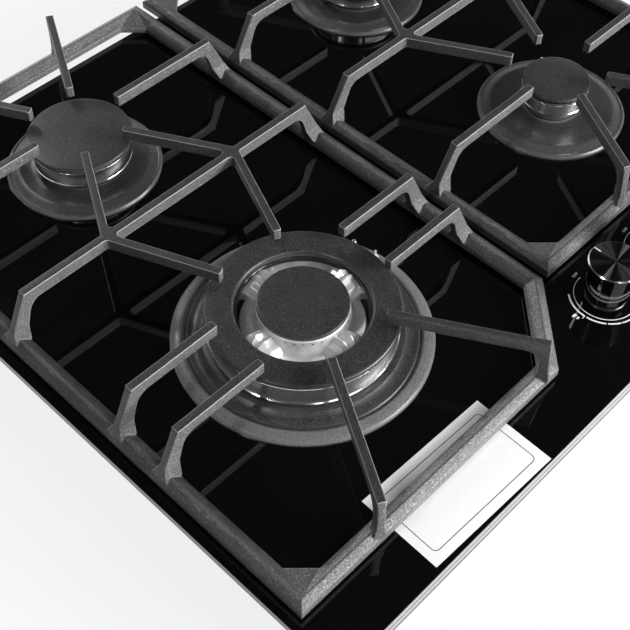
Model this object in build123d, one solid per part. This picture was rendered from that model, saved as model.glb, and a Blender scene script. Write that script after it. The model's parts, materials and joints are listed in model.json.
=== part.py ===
from build123d import *
import math
import os

# Built-in gas cooktop with four burners, in millimetres.
# X runs to the right, Y to the back, Z up. The pieces are drawn with Z = 0 on the glass's
# top face and the origin at the glass's centre, and raised by glass_height when they are
# written, so that the tray's underside lies at Z = 0.

# ---------------------------------------------------------------- driving dimensions
glass_width = 600.0
glass_depth = 502.2
glass_thickness = 6.0
glass_corner = 2.5
front_bevel = 2.2

seal_thickness = 1.5
seal_width = 7.5
seal_edge = 2.5

tray_width = 552.0
tray_depth = 472.0
tray_below_worktop = 54.0
tray_flange = 14.0
tray_corner = 6.0
sheet = 1.0
recess_width = 61.0
recess_depth = 46.0
recess_headroom = 2.5
vent_length = 30.0
vent_height = 4.0
vent_count = 6
clamp_spacing_x = 500.0
clamp_spacing_y = 340.0
clamp_hole_r = 2.1

grate_centre = 148.0
grate_width = 289.0
grate_rear = 267.1
left_grate_front = -212.6
right_grate_front = -157.9
knob_corner_cut = 54.5
rail_width = 13.0
rail_bottom = 3.2
rail_outer_lip = 9.3
rail_inner_lip = 7.8
rail_ridge = 12.0
rail_ridge_inset = 5.5
rail_ridge_width = 1.0
rail_corner = 15.0
rail_ridge_corner = 2.0
bar_width = 5.8
bar_top = 44.7
bar_depth = 8.7
bar_chamfer = 0.8
tip_round = 1.2
hub_round = 3.0
leg_breadth = 13.0
leg_knee = 4.6
leg_root = 4.0
leg_edge = 0.5
leg_overlap = 18.0
leg_outer_round = 5.0
leg_inner_round = 11.0
leg_flare = 4.5
slant_leg_flare = 1.2
leg_flare_bottom = 8.5
leg_flare_top = 17.0
left_leg_inset = 17.9
right_leg_inset = 20.5
crossbar_y = 53.9
hub_offset = 58.0
slant_leg_breadth = 8.4
rear_side_tip = (35.8, 156.7)
rear_near_tip = (17.5, 126.2)
rear_far_tip = (17.5, 187.2)
rear_bend = (59.7, 265.5)
wok_fingers = {
    "side": [(57.1, -50.3), (57.1, -91.9)],
    "hub_tip": (25.1, -22.4),
    "front_tip": (25.1, -119.8),
    "front_bend": (78.0, -209.2),
}
simmer_fingers = {
    "side": [(35.1, -51.9)],
    "hub_tip": (16.7, -20.3),
    "front_tip": (16.7, -83.5),
    "front_bend": (55.8, -152.4),
}

foot_r = 4.0
foot_peg_r = 2.0
foot_peg_height = 3.0
foot_peg_clearance = 0.1
rear_foot_y = 240.0
left_grate_side_foot_y = -140.0

wok_y = -71.1
simmer_y = -51.9
rear_y = 156.7

cup_top = 10.0
cup_floor = -24.0
cup_wall = 3.0
cup_flange_top = -3.0
cup_flange_thickness = 3.0
cup_boss_r = 9.0
cup_boss_bottom = -46.0
cup_bore_r = 4.0
pipe_level = -38.0
injector_seat = -42.0
injector_top = -30.0
injector_hex_r = 3.6
injector_jet_r = 0.6
injector_collar = 2.0
injector_gap = 1.0
injector_nose = 2.0
injector_nose_r = 2.4
injector_tip_r = 1.6

ring_foot = 2.5
ring_sheet = 2.0
ring_lip = 3.2
ring_clearance = 0.8
gasket_thickness = 1.2
gasket_clearance = 0.3
glass_hole_clearance = 1.2

# Ring sections as (distance from the outer edge or the neck, height above the lip).
ring_rim = [(0.0, -1.4), (1.2, 0.0), (2.4, 0.0), (3.4, -0.8)]
ring_shoulder = [(11.2, 0.4), (7.2, 2.2), (2.0, 2.9), (0.0, 2.9)]
wok_ring_rim = [
    (0.0, -1.4), (1.4, 0.0), (8.4, 0.7), (9.2, 0.0), (10.2, 0.0), (11.0, 1.2), (18.0, 2.6), (20.5, 4.2),
]
wok_ring_shoulder = [(4.0, 5.0), (0.0, 5.2)]

spreader_skirt = 5.0
spreader_skirt_wall = 2.5
spreader_clearance = 0.4
spreader_floor = 3.0
spreader_wall = 5.0
spreader_throat_r = 10.0
band_top = 25.0
band_flange = 0.4
port_wall_inset = 0.8
edge_break = 0.6
spreader_cove = 2.0
cap_seat = 28.0
cap_thickness = 3.5
cap_round = 1.2
cap_lip_height = 3.0
cap_lip_wall = 2.0
port_width = 1.4
port_depth = 2.2
notch_width = 1.2
notch_depth = 0.7
notch_angle = 205.0

wok_band_bottom = 9.5
wok_band_top = 25.6
wok_port_depth = 1.4
wok_inner_wall_r = 43.5
wok_inner_wall = 3.0
wok_ring_cap_seat = 27.5
wok_ring_cap_hole_r = 44.9
wok_ring_cap_thickness = 4.0
wok_crown_r = 30.8
wok_crown_foot_r = 34.0
wok_crown_wall = 4.0
wok_crown_bottom = 14.0
wok_crown_top = 31.1
wok_crown_band = 5.0
wok_crown_ports = 5
wok_crown_port_step = 12.0
wok_centre_cap_r = 30.4
wok_bridge_count = 4
wok_bridge_overlap = 2.0
wok_bridge_width = 13.0
wok_bridge_bottom = 15.0
wok_bridge_top = 27.0
wok_bridge_channel = 5.0
wok_bridge_channel_depth = 4.0
wok_crown_port_r = 0.8
wok_crown_port_drop = 2.6

stud_hole_clearance = 0.5
stud_collar_r = 4.0
stud_collar_height = 2.0
electrode_r = 2.4
electrode_bottom = -22.0
electrode_pin_r = 0.9
electrode_ceramic_drop = 5.5
probe_r = 1.9
probe_bottom = -20.0
probe_drop = 2.0
probe_round = 1.7

strap_top = -24.0
strap_thickness = 1.5
strap_margin = 25.0
strap_half_length = 262.0
strap_foot = 11.0
cup_screw_offset = 14.0
cup_screw_depth = 2.0
m3_screw_r = 1.5
m3_head_r = 3.0
m3_head = 2.0
tray_screw_r = 2.0
tray_screw_head_r = 3.8
tray_screw_head = 2.4
tray_screw_inset = 8.0
screw_clearance = 0.1

knob_first_x = 22.0
knob_spacing = 60.0
knob_count = 4
knob_y = -194.4
knob_bottom = 5.5
knob_top = 35.0
knob_bottom_r = 15.2
knob_top_r = 18.6
knob_chamfer = 0.8
knob_wall = 2.2
knob_hollow_top = 22.0
knob_boss_r = 7.0
bezel_r = 14.5
bezel_height = 1.2
bezel_hole_r = 5.0
bezel_sleeve_r = 8.7
spindle_hole_r = 9.0

spindle_r = 4.0
spindle_flat = 2.9
spindle_top = 29.0
spindle_collar_r = 6.4
spindle_collar = 2.0
spindle_tongue_r = 3.0
spindle_tongue_flat = 2.0
spindle_bottom = -38.0
running_gap = 0.1
end_gap = 0.2

tap_width = 24.0
tap_depth = 26.0
tap_top = -20.0
tap_bottom = -50.0
tap_bore_r = 7.5
cone_top = -34.0
cone_bottom = -46.0
cone_socket_bottom = -44.0
cone_port_r = 2.5
bonnet_thickness = 3.0
bonnet_screw_y = 9.5
bonnet_screw_depth = 6.0
spring_outer_r = 6.4
spring_inner_r = 4.6
switch_length = 10.0
switch_width = 5.0
switch_height = 7.0
switch_gap = 1.0

rail_pipe_r = 8.0
rail_pipe_bore_r = 6.5
rail_pipe_left = -2.0
rail_pipe_right_x = 240.0
rail_pipe_bend = 25.0
rail_pipe_end = 12.0
wall_hole_clearance = 0.6
elbow_r = 10.0
elbow_thread_r = 10.48
elbow_bore_r = 6.0
elbow_thread_length = 12.0
elbow_reach = 25.5
elbow_top = 10.5
elbow_bottom_gap = 1.0

pipe_r = 3.0
pipe_bore_r = 2.2
pipe_bend = 12.0
pipe_socket = 5.0
boss_pipe_depth = 4.0
pipe_clearance = 0.1
rear_lane_offset = 65.0
lead_r = 1.3
lead_level = -31.0
lead_bend = 3.9
lead_entry = 12.0
probe_lead_r = 1.2
probe_lead_level = -47.6
probe_lead_bend = 3.6
magnet_offset = 7.0
# Front lane and side lane of each feed pipe and thermocouple lead, in the taps' order.
feed_lanes = [(-150.0, None), (-130.0, -38.0), (-130.0, 100.0), (-105.0, None)]
probe_lanes = [(-112.0, None), (-94.0, -60.0), (-80.0, 120.0), (None, None)]

module_width = 70.0
module_depth = 50.0
module_headroom = 2.5
module_x = -10.0
module_y = 200.0
module_round = 2.0
terminal_width = 18.0
terminal_depth = 26.0
terminal_height = 24.0
terminal_x = 205.0
terminal_y = 165.0
gland_x = 266.0
gland_level = -42.0
gland_r = 7.0
gland_nut_r = 8.5
gland_nut = 4.0
gland_bore_r = 4.0
gland_outer = 9.0
gland_inner = 6.0

label_width = 105.3
label_depth = 60.0
label_thickness = 0.12
label_x = -161.3
label_y = -216.0
label_turn = -1.5

overshoot = 1.0
tolerance = 1e-4

# ---------------------------------------------------------------- derived values
glass_height = tray_below_worktop + seal_thickness + glass_thickness
glass_bottom = -glass_thickness
worktop_level = glass_bottom - seal_thickness
tray_bottom = worktop_level - tray_below_worktop
tray_floor = tray_bottom + sheet
bar_bottom = bar_top - bar_depth
cone_r = tap_bore_r - running_gap
bonnet_top = tap_top + bonnet_thickness
collar_top = tap_top - end_gap
collar_bottom = collar_top - spindle_collar
rail_pipe_y = knob_y - tap_depth / 2 - rail_pipe_r
recess_x = tray_width / 2 - recess_width
recess_y = tray_depth / 2 - recess_depth
recess_top = pipe_level + elbow_top + recess_headroom
module_top = lead_level + module_headroom


class Burner:
    """Where one burner stands and the sizes that differ between the burners."""

    def __init__(self, name, x, y, ring_r, band_r, neck_r, cap_r, band_bottom, stud_tip, ports):
        self.name = name
        self.x = x
        self.y = y
        self.ring_r = ring_r
        self.band_r = band_r
        self.neck_r = neck_r
        self.cap_r = cap_r
        self.band_bottom = band_bottom
        self.stud_tip = stud_tip
        self.ports = ports
        self.electrode = (0.0, 0.0)
        self.probe = (0.0, 0.0)
        self.flange_r = 0.0

    def studs(self, electrode_r_angle, probe_r_angle, flange_r):
        """Places the spark electrode and the thermocouple by radius and angle."""
        self.electrode = polar(self, *electrode_r_angle)
        self.probe = polar(self, *probe_r_angle)
        self.flange_r = flange_r
        return self


def polar(burner, radius, degrees):
    """A point at a radius and an angle about a burner's axis."""
    angle = math.radians(degrees)
    return burner.x + radius * math.cos(angle), burner.y + radius * math.sin(angle)


wok = Burner("wok", -grate_centre, wok_y, 87.9, 63.0, 50.0, 64.9, wok_band_bottom, 24.0, 60)
wok.studs((72.0, 1.7), (73.2, 16.0), 77.5)
rear_left = Burner("rear_left", -grate_centre, rear_y, 57.5, 36.4, 30.0, 38.4, 13.3, 17.5, 40)
rear_left.studs((47.0, 50.0), (46.0, 65.0), 51.0)
rear_right = Burner("rear_right", grate_centre, rear_y, 57.5, 36.4, 30.0, 38.4, 13.3, 17.5, 40)
rear_right.studs((47.0, 50.0), (46.0, 65.0), 51.0)
simmer = Burner("simmer", grate_centre, simmer_y, 57.3, 25.2, 20.0, 26.6, 15.5, 17.5, 28)
simmer.studs((41.0, 50.0), (33.0, 40.0), 45.5)
burners = [wok, rear_left, rear_right, simmer]
plain_burners = [rear_left, rear_right, simmer]
knobs_x = [knob_first_x + knob_spacing * k for k in range(knob_count)]


# ---------------------------------------------------------------- shapes
def save(name, shape):
    """Writes one piece, raised so that the tray's underside lies at Z = 0."""
    export_step(Pos(0, 0, glass_height) * shape, f"parts/{name}.step")


def group(solids):
    """Several separate solids in one piece."""
    return Compound(children=list(solids))


def turned(points):
    """A closed outline of (radius, height) points, turned about Z."""
    return revolve(make_face(Polyline(*[(r, 0, z) for r, z in points], close=True)), Axis.Z)


def rod(radius, low, high, x=0.0, y=0.0):
    """An upright cylinder between two heights."""
    return Pos(x, y, (low + high) / 2) * Cylinder(radius, high - low)


def block(x0, x1, y0, y1, z0, z1):
    """A box between two corners."""
    return Pos((x0 + x1) / 2, (y0 + y1) / 2, (z0 + z1) / 2) * Box(x1 - x0, y1 - y0, z1 - z0)


def tube(points, radius, bend, bore=0.0):
    """A pipe or lead along straight runs joined by tangent arcs."""
    path = FilletPolyline(*points, radius=bend)
    section = Circle(radius) - Circle(bore) if bore else Circle(radius)
    start = Plane(origin=path @ 0, z_dir=path % 0)
    return sweep(start * section, path=path)


def at(burner, shape):
    """Moves a piece from the origin to a burner's axis."""
    return Pos(burner.x, burner.y, 0) * shape


# ---------------------------------------------------------------- glass, seal and tray
def glass_top():
    low_y = -glass_depth / 2
    plate = block(-glass_width / 2, glass_width / 2, low_y, -low_y, glass_bottom, 0)
    plate = fillet(plate.edges().filter_by(Axis.Z), glass_corner)
    wedge = Polyline(
        (0, low_y, -front_bevel), (0, low_y, overshoot), (0, low_y + front_bevel, overshoot),
        (0, low_y + front_bevel, 0), close=True,
    )
    bevel = extrude(make_face(wedge), amount=glass_width / 2, both=True)
    plate -= bevel
    for b in burners:
        plate -= rod(b.flange_r + glass_hole_clearance, glass_bottom, 0, b.x, b.y)
    for x in knobs_x:
        plate -= rod(spindle_hole_r, glass_bottom, 0, x, knob_y)
    return plate


def worktop_seal():
    half_x = glass_width / 2 - seal_edge
    half_y = glass_depth / 2 - seal_edge
    ring = block(-half_x, half_x, -half_y, half_y, worktop_level, glass_bottom)
    inner_x = half_x - seal_width
    inner_y = half_y - seal_width
    return ring - block(-inner_x, inner_x, -inner_y, inner_y, worktop_level, glass_bottom)


def recess_block(growth):
    """The space left under the raised rear corner, grown by a wall."""
    return block(
        recess_x - growth, tray_width, recess_y - growth, tray_depth,
        tray_bottom - sheet, recess_top + growth,
    )


def bottom_tray():
    half_x = tray_width / 2
    half_y = tray_depth / 2
    outside = block(-half_x, half_x, -half_y, half_y, tray_bottom, glass_bottom)
    outside = fillet(outside.edges().filter_by(Axis.Z), tray_corner)
    inside = block(
        -half_x + sheet, half_x - sheet, -half_y + sheet, half_y - sheet,
        tray_floor, glass_bottom - sheet,
    )
    inside = fillet(inside.edges().filter_by(Axis.Z), tray_corner - sheet)
    mouth_x = half_x - tray_flange
    mouth_y = half_y - tray_flange
    mouth = block(-mouth_x, mouth_x, -mouth_y, mouth_y, glass_bottom - sheet, glass_bottom)
    tray = outside - recess_block(0) - (inside - recess_block(sheet)) - mouth
    for x in (-clamp_spacing_x / 2, clamp_spacing_x / 2):
        for y in (-clamp_spacing_y / 2, clamp_spacing_y / 2):
            tray -= rod(clamp_hole_r, tray_bottom, tray_floor, x, y)
    for x, y in tray_screw_places():
        tray -= rod(tray_screw_r + screw_clearance, tray_bottom, tray_floor, x, y)
    vent_pitch = tray_width / (vent_count + 2)
    vent_level = (glass_bottom + recess_top) / 2
    for k in range(vent_count):
        x = (k - (vent_count - 1) / 2) * vent_pitch
        for y in (-half_y, half_y):
            tray -= Pos(x, y, vent_level) * Box(vent_length, 3 * sheet, vent_height)
    wall_hole = rail_pipe_r + wall_hole_clearance
    rail_hole = Pos(rail_pipe_right_x, recess_y, pipe_level) * Rot(90, 0, 0)
    gland_hole = Pos(gland_x, recess_y, gland_level) * Rot(90, 0, 0)
    tray -= rail_hole * Cylinder(wall_hole, 4 * sheet)
    tray -= gland_hole * Cylinder(gland_r + screw_clearance, 4 * sheet)
    return tray


# ---------------------------------------------------------------- pan supports
def inset(points, distance):
    """Moves every side of a convex outline, listed counter-clockwise, inwards."""
    moved = []
    count = len(points)
    for k in range(count):
        before, here, after = points[k - 1], points[k], points[(k + 1) % count]
        ax, ay = here[0] - before[0], here[1] - before[1]
        bx, by = after[0] - here[0], after[1] - here[1]
        a, b = math.hypot(ax, ay), math.hypot(bx, by)
        ax, ay, bx, by = ax / a, ay / a, bx / b, by / b
        turn = 1 + ax * bx + ay * by
        moved.append((here[0] - distance * (ay + by) / turn, here[1] + distance * (ax + bx) / turn))
    return moved


def cut_corners(points, length):
    """Cuts the square corners of an outline at 45 degrees."""
    result = []
    count = len(points)
    for k in range(count):
        before, here, after = points[k - 1], points[k], points[(k + 1) % count]
        a = math.dist(before, here)
        b = math.dist(here, after)
        to_before = ((before[0] - here[0]) / a, (before[1] - here[1]) / a)
        to_after = ((after[0] - here[0]) / b, (after[1] - here[1]) / b)
        square = abs(to_before[0] * to_after[0] + to_before[1] * to_after[1]) < tolerance
        if square:
            result.append((here[0] + length * to_before[0], here[1] + length * to_before[1]))
            result.append((here[0] + length * to_after[0], here[1] + length * to_after[1]))
        else:
            result.append(here)
    return result


def outline_at(points, z):
    return make_face(Polyline(*[(x, y, z) for x, y in points], close=True))


def prism(points, low, high):
    return extrude(outline_at(points, low), amount=high - low, dir=(0, 0, 1))


def frame_rail(outline):
    """The rail frame: a low roof section, mitred at the corners."""
    ridge_out = inset(outline, rail_ridge_inset)
    ridge_in = cut_corners(inset(outline, rail_ridge_inset + rail_ridge_width), rail_ridge_corner)
    inner = cut_corners(inset(outline, rail_width), rail_corner)
    body = prism(outline, rail_bottom, rail_outer_lip)
    body += loft([outline_at(outline, rail_outer_lip), outline_at(ridge_out, rail_ridge)], ruled=True)
    window = prism(inner, rail_bottom, rail_inner_lip)
    window += loft([outline_at(inner, rail_inner_lip), outline_at(ridge_in, rail_ridge)], ruled=True)
    return body - window


def bar_sketch(start, end):
    """The plan outline of a bar between two points."""
    length = math.dist(start, end)
    degrees = math.degrees(math.atan2(end[1] - start[1], end[0] - start[0]))
    middle = ((start[0] + end[0]) / 2, (start[1] + end[1]) / 2)
    return Pos(middle[0], middle[1]) * Rot(0, 0, degrees) * Rectangle(length, bar_width)


def leg_edges_at(level, reach, breadth):
    """How far out a leg's inner and outer edges lie at a level."""
    outer = reach * (bar_top - level) / (bar_top - rail_outer_lip)
    inner_run = reach - breadth + leg_knee
    inner = inner_run * (bar_bottom - level) / (bar_bottom - rail_inner_lip) - leg_knee
    return inner, outer


def leg_root_flare(reach, breadth, flare):
    """The leg's root, widening along the rail like a casting's fillet."""
    sections = []
    for level, growth in ((leg_flare_bottom, flare), (leg_flare_top, 0.0)):
        inner, outer = leg_edges_at(level, reach, breadth)
        outer = min(outer, reach)
        half = bar_width / 2 + growth
        corners = [(inner, -half), (outer, -half), (outer, half), (inner, half)]
        sections.append(outline_at(corners, level))
    return loft(sections, ruled=True)


def on_outer_side(edge, reach, breadth):
    """Whether an edge of a leg runs along its top or its outer side."""
    centre = edge.center()
    if abs(centre.Y) < tolerance or centre.Z < rail_outer_lip:
        return False
    return centre.Z > bar_top - tolerance or centre.X > sum(leg_edges_at(centre.Z, reach, breadth)) / 2


def leg(start, bend, reach, breadth, flare):
    """The leg that carries a bar's end down to the rail, in the bar's own upright plane."""
    degrees = math.degrees(math.atan2(bend[1] - start[1], bend[0] - start[0]))
    inner_knee = (-leg_knee, bar_bottom)
    outer_knee = (0, bar_top)
    face = make_face(Polyline(
        (-leg_overlap, bar_top), outer_knee, (reach, rail_outer_lip), (reach - leg_edge, leg_root),
        (reach - breadth + leg_edge, leg_root), (reach - breadth, rail_inner_lip), inner_knee,
        (-leg_overlap, bar_bottom), close=True,
    ))
    face = fillet(near_points(face, [inner_knee], leg_edge), leg_inner_round)
    face = fillet(near_points(face, [outer_knee], leg_edge), leg_outer_round)
    shape = extrude(Rot(90, 0, 0) * face, amount=bar_width / 2, both=True)
    shape = chamfer([e for e in shape.edges() if on_outer_side(e, reach, breadth)], bar_chamfer)
    shape += leg_root_flare(reach, breadth, flare)
    return Pos(bend[0], bend[1], 0) * Rot(0, 0, degrees) * shape


def pan_support(outline, fingers, crossbar, legs, hubs):
    """One casting: fingers with rounded tips, cross-bar, hubs, legs and the rail frame."""
    plan = bar_sketch(*crossbar)
    for finger in fingers:
        plan += bar_sketch(*finger)
    hub_points = near_points(plan, hubs, 3 * bar_width)
    plan = fillet(hub_points, hub_round)
    plan = fillet(near_points(plan, [tip for tip, end in fingers], bar_width), tip_round)
    body = Pos(0, 0, bar_bottom) * extrude(plan, amount=bar_depth)
    body = chamfer(body.faces().sort_by(Axis.Z)[-1].edges(), bar_chamfer)
    for one in legs:
        body += leg(*one)
    return body + frame_rail(outline)


def near_points(plan, places, distance):
    """The outline's corners within a distance of any of the places."""
    return [v for v in plan.vertices() if any(math.dist((v.X, v.Y), p) < distance for p in places)]


def pair(centre, x, y):
    """Two points at the same depth, left and right of a support's centre."""
    return [(centre - x, y), (centre + x, y)]


def end_reach(tip, bend, rail_y):
    """How far a slanting leg may run on before it leaves the rail."""
    return (abs(rail_y - bend[1]) - leg_edge) * math.dist(tip, bend) / abs(bend[1] - tip[1])


def support(centre, front, corner_cut, leg_inset, burner_fingers):
    """Lays out one pan support from its side fingers and its slanting fingers."""
    left = centre - grate_width / 2
    right = centre + grate_width / 2
    outline = [(left, front), (right, front), (right, grate_rear), (left, grate_rear)]
    if corner_cut:
        outline[1:2] = [(right - corner_cut, front), (right, front + corner_cut)]
    hubs = pair(centre, hub_offset, crossbar_y)
    crossbar = ((left + leg_inset, crossbar_y), (right - leg_inset, crossbar_y))
    middle = (centre, crossbar_y)
    sides = []
    for tip_x, y in burner_fingers["side"] + [rear_side_tip]:
        tips = pair(centre, tip_x, y)
        sides += [(tips[0], (crossbar[0][0], y)), (tips[1], (crossbar[1][0], y))]
    inner = list(zip(pair(centre, *rear_near_tip), hubs))
    inner += list(zip(pair(centre, *burner_fingers["hub_tip"]), hubs))
    rear = list(zip(pair(centre, *rear_far_tip), pair(centre, *rear_bend)))
    front_tips = pair(centre, *burner_fingers["front_tip"])
    fore = list(zip(front_tips, pair(centre, *burner_fingers["front_bend"])))
    reach = leg_inset - leg_edge
    legs = [(a, b, reach, leg_breadth, leg_flare) for a, b in sides]
    legs += [(middle, end, reach, leg_breadth, leg_flare) for end in crossbar]
    for rail_y, slanting in ((grate_rear, rear), (front, fore)):
        for a, b in slanting:
            legs.append((a, b, end_reach(a, b, rail_y), slant_leg_breadth, slant_leg_flare))
    return pan_support(outline, sides + inner + rear + fore, crossbar, legs, hubs)


def left_foot_places():
    left = -grate_centre - grate_width / 2 + rail_width / 2
    right = -grate_centre + grate_width / 2 - rail_width / 2
    front = left_grate_front + rail_width / 2
    return [(left, front), (right, left_grate_side_foot_y), (right, rear_foot_y), (left, rear_foot_y)]


def right_foot_places():
    left = grate_centre - grate_width / 2 + rail_width / 2
    right = grate_centre + grate_width / 2 - rail_width / 2
    front = right_grate_front + rail_width / 2
    return [(left, front), (right, front), (right, rear_foot_y), (left, rear_foot_y)]


def with_foot_holes(body, places):
    hole_r = foot_peg_r + foot_peg_clearance
    for x, y in places:
        body -= rod(hole_r, rail_bottom, rail_bottom + foot_peg_height + end_gap, x, y)
    return body


def left_pan_support():
    body = support(-grate_centre, left_grate_front, knob_corner_cut, left_leg_inset, wok_fingers)
    return with_foot_holes(body, left_foot_places())


def right_pan_support():
    body = support(grate_centre, right_grate_front, 0.0, right_leg_inset, simmer_fingers)
    return with_foot_holes(body, right_foot_places())


def rubber_feet(places):
    """Pads under the rails, each with a peg in its blind hole."""
    feet = []
    for x, y in places:
        pad = rod(foot_r, 0, rail_bottom, x, y)
        feet.append(pad + rod(foot_peg_r, rail_bottom, rail_bottom + foot_peg_height, x, y))
    return group(feet)


# ---------------------------------------------------------------- burners
def spill_ring(b):
    """A pressed ring that stands on the glass about the burner's neck."""
    inner_r = b.neck_r + ring_clearance
    outer = b.ring_r
    rim, shoulder = (wok_ring_rim, wok_ring_shoulder) if b is wok else (ring_rim, ring_shoulder)
    top = [(outer - inward, ring_lip + rise) for inward, rise in rim]
    top += [(inner_r + outward, ring_lip + rise) for outward, rise in shoulder]
    foot_r_inner = outer - ring_foot
    under = [(r, max(gasket_thickness, z - ring_sheet)) for r, z in top if r < foot_r_inner]
    under.reverse()
    outline = [(outer, 0)] + top + under + [(foot_r_inner, gasket_thickness), (foot_r_inner, 0)]
    ring = at(b, turned(outline))
    high = ring_lip + 3 * ring_sheet
    ring -= rod(electrode_r + stud_hole_clearance, 0, high, *b.electrode)
    ring -= rod(probe_r + stud_hole_clearance, 0, high, *b.probe)
    return ring


def burner_gasket(b):
    hole = b.flange_r + glass_hole_clearance
    low_r = hole + gasket_clearance
    high_r = b.ring_r - ring_foot - gasket_clearance
    section = [(low_r, 0), (high_r, 0), (high_r, gasket_thickness), (low_r, gasket_thickness)]
    return at(b, turned(section))


def burner_cup(b):
    """The cup under the burner, with its flange in the glass's hole and its injector boss."""
    bore = b.neck_r - cup_wall
    flange_low = cup_flange_top - cup_flange_thickness
    outline = [
        (cup_bore_r, cup_floor), (cup_bore_r, cup_boss_bottom), (cup_boss_r, cup_boss_bottom),
        (cup_boss_r, cup_floor), (b.neck_r, cup_floor), (b.neck_r, flange_low),
        (b.flange_r, flange_low), (b.flange_r, cup_flange_top), (b.neck_r, cup_flange_top),
        (b.neck_r, cup_top), (bore, cup_top), (bore, cup_floor + cup_wall),
        (cup_bore_r, cup_floor + cup_wall),
    ]
    cup = at(b, turned(outline))
    cup += rod(cup_bore_r, cup_boss_bottom, injector_seat, b.x, b.y)
    cup -= rod(electrode_r + stud_hole_clearance, flange_low, cup_flange_top, *b.electrode)
    cup -= rod(probe_r + stud_hole_clearance, flange_low, cup_flange_top, *b.probe)
    inlet = Pos(b.x, b.y - cup_boss_r / 2, pipe_level) * Rot(90, 0, 0)
    cup -= inlet * Cylinder(pipe_r + pipe_clearance, cup_boss_r)
    for x, y in cup_screw_places(b):
        hole_end = cup_floor + cup_screw_depth + end_gap
        cup -= rod(m3_screw_r + screw_clearance, cup_floor, hole_end, x, y)
    return cup


def injector(b):
    """The brass jet that stands in the boss's bore."""
    low = pipe_level + pipe_r + injector_gap
    nose = injector_top - injector_nose
    body = at(b, turned([
        (injector_jet_r, low), (injector_hex_r, low), (injector_hex_r, nose),
        (injector_nose_r, nose), (injector_tip_r, injector_top), (injector_jet_r, injector_top),
    ]))
    high = low + injector_collar
    return body + rod(cup_bore_r, low, high, b.x, b.y) - rod(injector_jet_r, low, high, b.x, b.y)


def ports_ring(b, radius, low, depth, count):
    """Radial slots cut through the top of a burner's wall."""
    slots = []
    for k in range(count):
        slot = Rot(0, 0, 360.0 * k / count) * Pos(radius, 0, low + depth / 2)
        slots.append(slot * Box(3 * spreader_wall, port_width, depth))
    return at(b, Compound(slots))


def notch(b):
    """The upright notch in the flame band."""
    place = Rot(0, 0, notch_angle) * Pos(b.band_r, 0, (b.band_bottom + band_top) / 2)
    height = band_top - b.band_bottom + overshoot
    return at(b, place * Box(2 * notch_depth, notch_width, height))


def band_section(b, top, seat):
    """The outer side of a crown's section, from the neck up to the cap's seat."""
    rim = b.band_r + band_flange
    port_r = b.band_r - port_wall_inset
    return [
        (b.neck_r, cup_top), (b.band_r - edge_break, b.band_bottom),
        (b.band_r, b.band_bottom + edge_break), (b.band_r, top - 2 * band_flange),
        (rim, top - band_flange), (rim, top), (port_r, top + band_flange), (port_r, seat),
    ]


def flame_spreader(b):
    """The crown: skirt in the cup, bright band, slotted top edge under the cap."""
    skirt_r = b.neck_r - cup_wall - spreader_clearance
    skirt_in = skirt_r - spreader_skirt_wall
    wall_in = b.band_r - spreader_wall
    floor = cup_top + spreader_floor
    outline = [(skirt_r, cup_top - spreader_skirt), (skirt_r, cup_top)]
    outline += band_section(b, band_top, cap_seat)
    outline += [
        (wall_in, cap_seat), (wall_in, floor + spreader_cove), (wall_in - spreader_cove, floor),
        (spreader_throat_r, floor), (spreader_throat_r, cup_top), (skirt_in, cup_top),
        (skirt_in, cup_top - spreader_skirt),
    ]
    body = at(b, turned(outline))
    body -= ports_ring(b, b.band_r, cap_seat - port_depth, port_depth, b.ports)
    return body - notch(b)


def cap_section(radius, low, high, hole=0.0):
    """A cap's section with a rounded top edge, closed or with a hole."""
    fall = cap_round * (1 - math.sqrt(0.5))
    edge = ThreePointArc(
        (radius, 0, high - cap_round), (radius - fall, 0, high - fall), (radius - cap_round, 0, high),
    )
    side = [
        Line((radius - edge_break, 0, low), (radius, 0, low + edge_break)),
        Line((radius, 0, low + edge_break), (radius, 0, high - cap_round)),
    ]
    if not hole:
        rest = [
            Line((radius - cap_round, 0, high), (0, 0, high)),
            Line((0, 0, high), (0, 0, low)),
            Line((0, 0, low), (radius - edge_break, 0, low)),
        ]
        return make_face(side + [edge] + rest)
    inner_edge = ThreePointArc(
        (hole + cap_round, 0, high), (hole + fall, 0, high - fall), (hole, 0, high - cap_round),
    )
    rest = [
        Line((radius - cap_round, 0, high), (hole + cap_round, 0, high)),
        inner_edge,
        Line((hole, 0, high - cap_round), (hole, 0, low)),
        Line((hole, 0, low), (radius - edge_break, 0, low)),
    ]
    return make_face(side + [edge] + rest)


def cap_lip(radius, seat):
    """The ring under a cap that centres it in the crown."""
    inside = radius - cap_lip_wall
    low = seat - cap_lip_height
    return turned([(radius, low), (radius, seat), (inside, seat), (inside, low)])


def burner_cap(b):
    lid = revolve(cap_section(b.cap_r, cap_seat, cap_seat + cap_thickness), Axis.Z)
    return at(b, lid + cap_lip(b.band_r - spreader_wall - spreader_clearance, cap_seat))


def wok_ring_crown():
    """The outer crown, a trough between two walls."""
    skirt_low = cup_top - spreader_skirt
    skirt_r = wok.neck_r - cup_wall - spreader_clearance
    trough_in = wok_inner_wall_r + wok_inner_wall
    trough_out = wok.band_r - spreader_wall
    floor = cup_top + spreader_floor
    outline = [(wok_inner_wall_r, skirt_low), (skirt_r, skirt_low), (skirt_r, cup_top)]
    outline += band_section(wok, wok_band_top, wok_ring_cap_seat)
    outline += [
        (trough_out, wok_ring_cap_seat), (trough_out, floor), (trough_in, floor),
        (trough_in, wok_ring_cap_seat), (wok_inner_wall_r, wok_ring_cap_seat),
    ]
    return turned(outline)


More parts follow.
